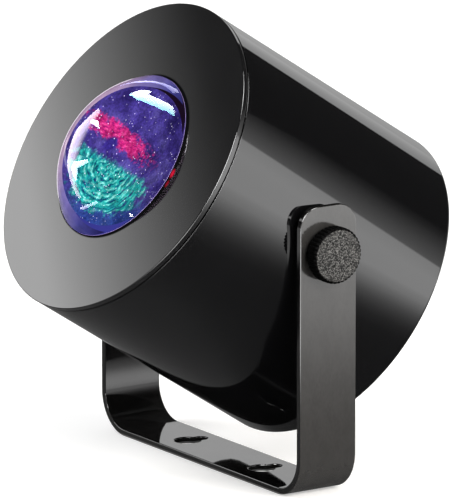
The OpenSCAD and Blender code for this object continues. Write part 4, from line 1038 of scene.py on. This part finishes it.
# rows along the dome's outline in the camera's view: normals with one cosine to the view, turned round it
def edgeRows():
    view = toHead(pivot + back)
    first = unit(np.cross(upright, view))
    second = np.cross(view, first)
    turns = np.radians(np.linspace(domeEdge["from"], domeEdge["to"], domeEdge["points"], axis=1))[..., None]
    cosine = np.array(domeEdge["cosines"])[:, None, None]
    normal = cosine * view + np.sqrt(1 - cosine ** 2) * (np.cos(turns) * first + np.sin(turns) * second)
    return normal[..., :2] * ball / mm


# a card where the camera's view of those points on the dome is mirrored to
def domeCard(name, lines, colors, reach):
    xy = np.array(lines, dtype=float) * mm
    height = np.sqrt(ball ** 2 - (xy ** 2).sum(-1))
    normal = fromHead(np.concatenate([xy, height[..., None]], axis=-1)) - pivot
    points = pivot + beam * (lensTop - ball) + normal
    normal = normal / ball
    view = unit(cameraAt - points)
    look = 2 * (normal * view).sum(-1, keepdims=True) * normal - view
    mat, w, glow, out = glowMaterial(name)
    w.put(glow.inputs["Color"], w.add("Attribute", attribute_name="glow").outputs["Color"])
    onlyForDome(w, glow, out)
    rows, cols = xy.shape[:2]
    obj = newSheet(name, (points + look * reach).reshape(-1, 3), gridFaces(rows, cols), mat)
    shade = np.ones((rows, cols, 4))
    shade[..., :3] = np.array(colors, dtype=float)[:, None]
    obj.data.color_attributes.new("glow", "FLOAT_COLOR", "POINT").data.foreach_set("color", shade.ravel())
    return hideFromView(obj)


highlights["edge"] = edgeRows()
for name, colors in highlightGlow.items():
    domeCard("lens_" + name, highlights[name], colors, highlightReach.get(name, highlightReach["others"]))

# two soft lamps for the matt surfaces
lamps = {"key_softbox": {"place": (-0.7, -1.0, 1.3), "size": 0.9, "power": 16, "color": (1, 1, 1)},
         "right_softbox": {"place": (1.3, 0.3, 0.7), "size": 0.9, "power": 30, "color": (1.0, 0.96, 0.9)}}
for name, form in lamps.items():
    data = bpy.data.lights.new(name, "AREA")
    data.size = form["size"]
    data.energy = form["power"]
    data.color = form["color"]
    obj = bpy.data.objects.new(name, data)
    obj.location = form["place"]
    obj.rotation_mode = "QUATERNION"
    obj.rotation_quaternion = Vector(pivot - np.array(form["place"])).to_track_quat("-Z", "Y")
    obj.visible_camera = False
    obj.visible_glossy = False
    bpy.context.scene.collection.objects.link(obj)

# white surround for the camera, gloss and glass; softer for everything else
surround = {"softer": 0.6, "white": 1.0}
world = bpy.data.worlds.new("studio")
bpy.context.scene.world = world
world.use_nodes = True
world.node_tree.nodes.clear()
w = Wiring(world.node_tree)
path = w.add("LightPath").outputs
seen = w.calc("MAXIMUM", path["Is Camera Ray"], path["Is Glossy Ray"])
seen = w.calc("MAXIMUM", seen, path["Is Transmission Ray"])
softer, white = (w.add("Background", {"Color": (1, 1, 1, 1), "Strength": surround[k]}).outputs["Background"]
                 for k in ("softer", "white"))
mixShaders(w, w.add("OutputWorld"), seen, softer, white)
print("stage made")

low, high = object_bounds()
print("scene ready")
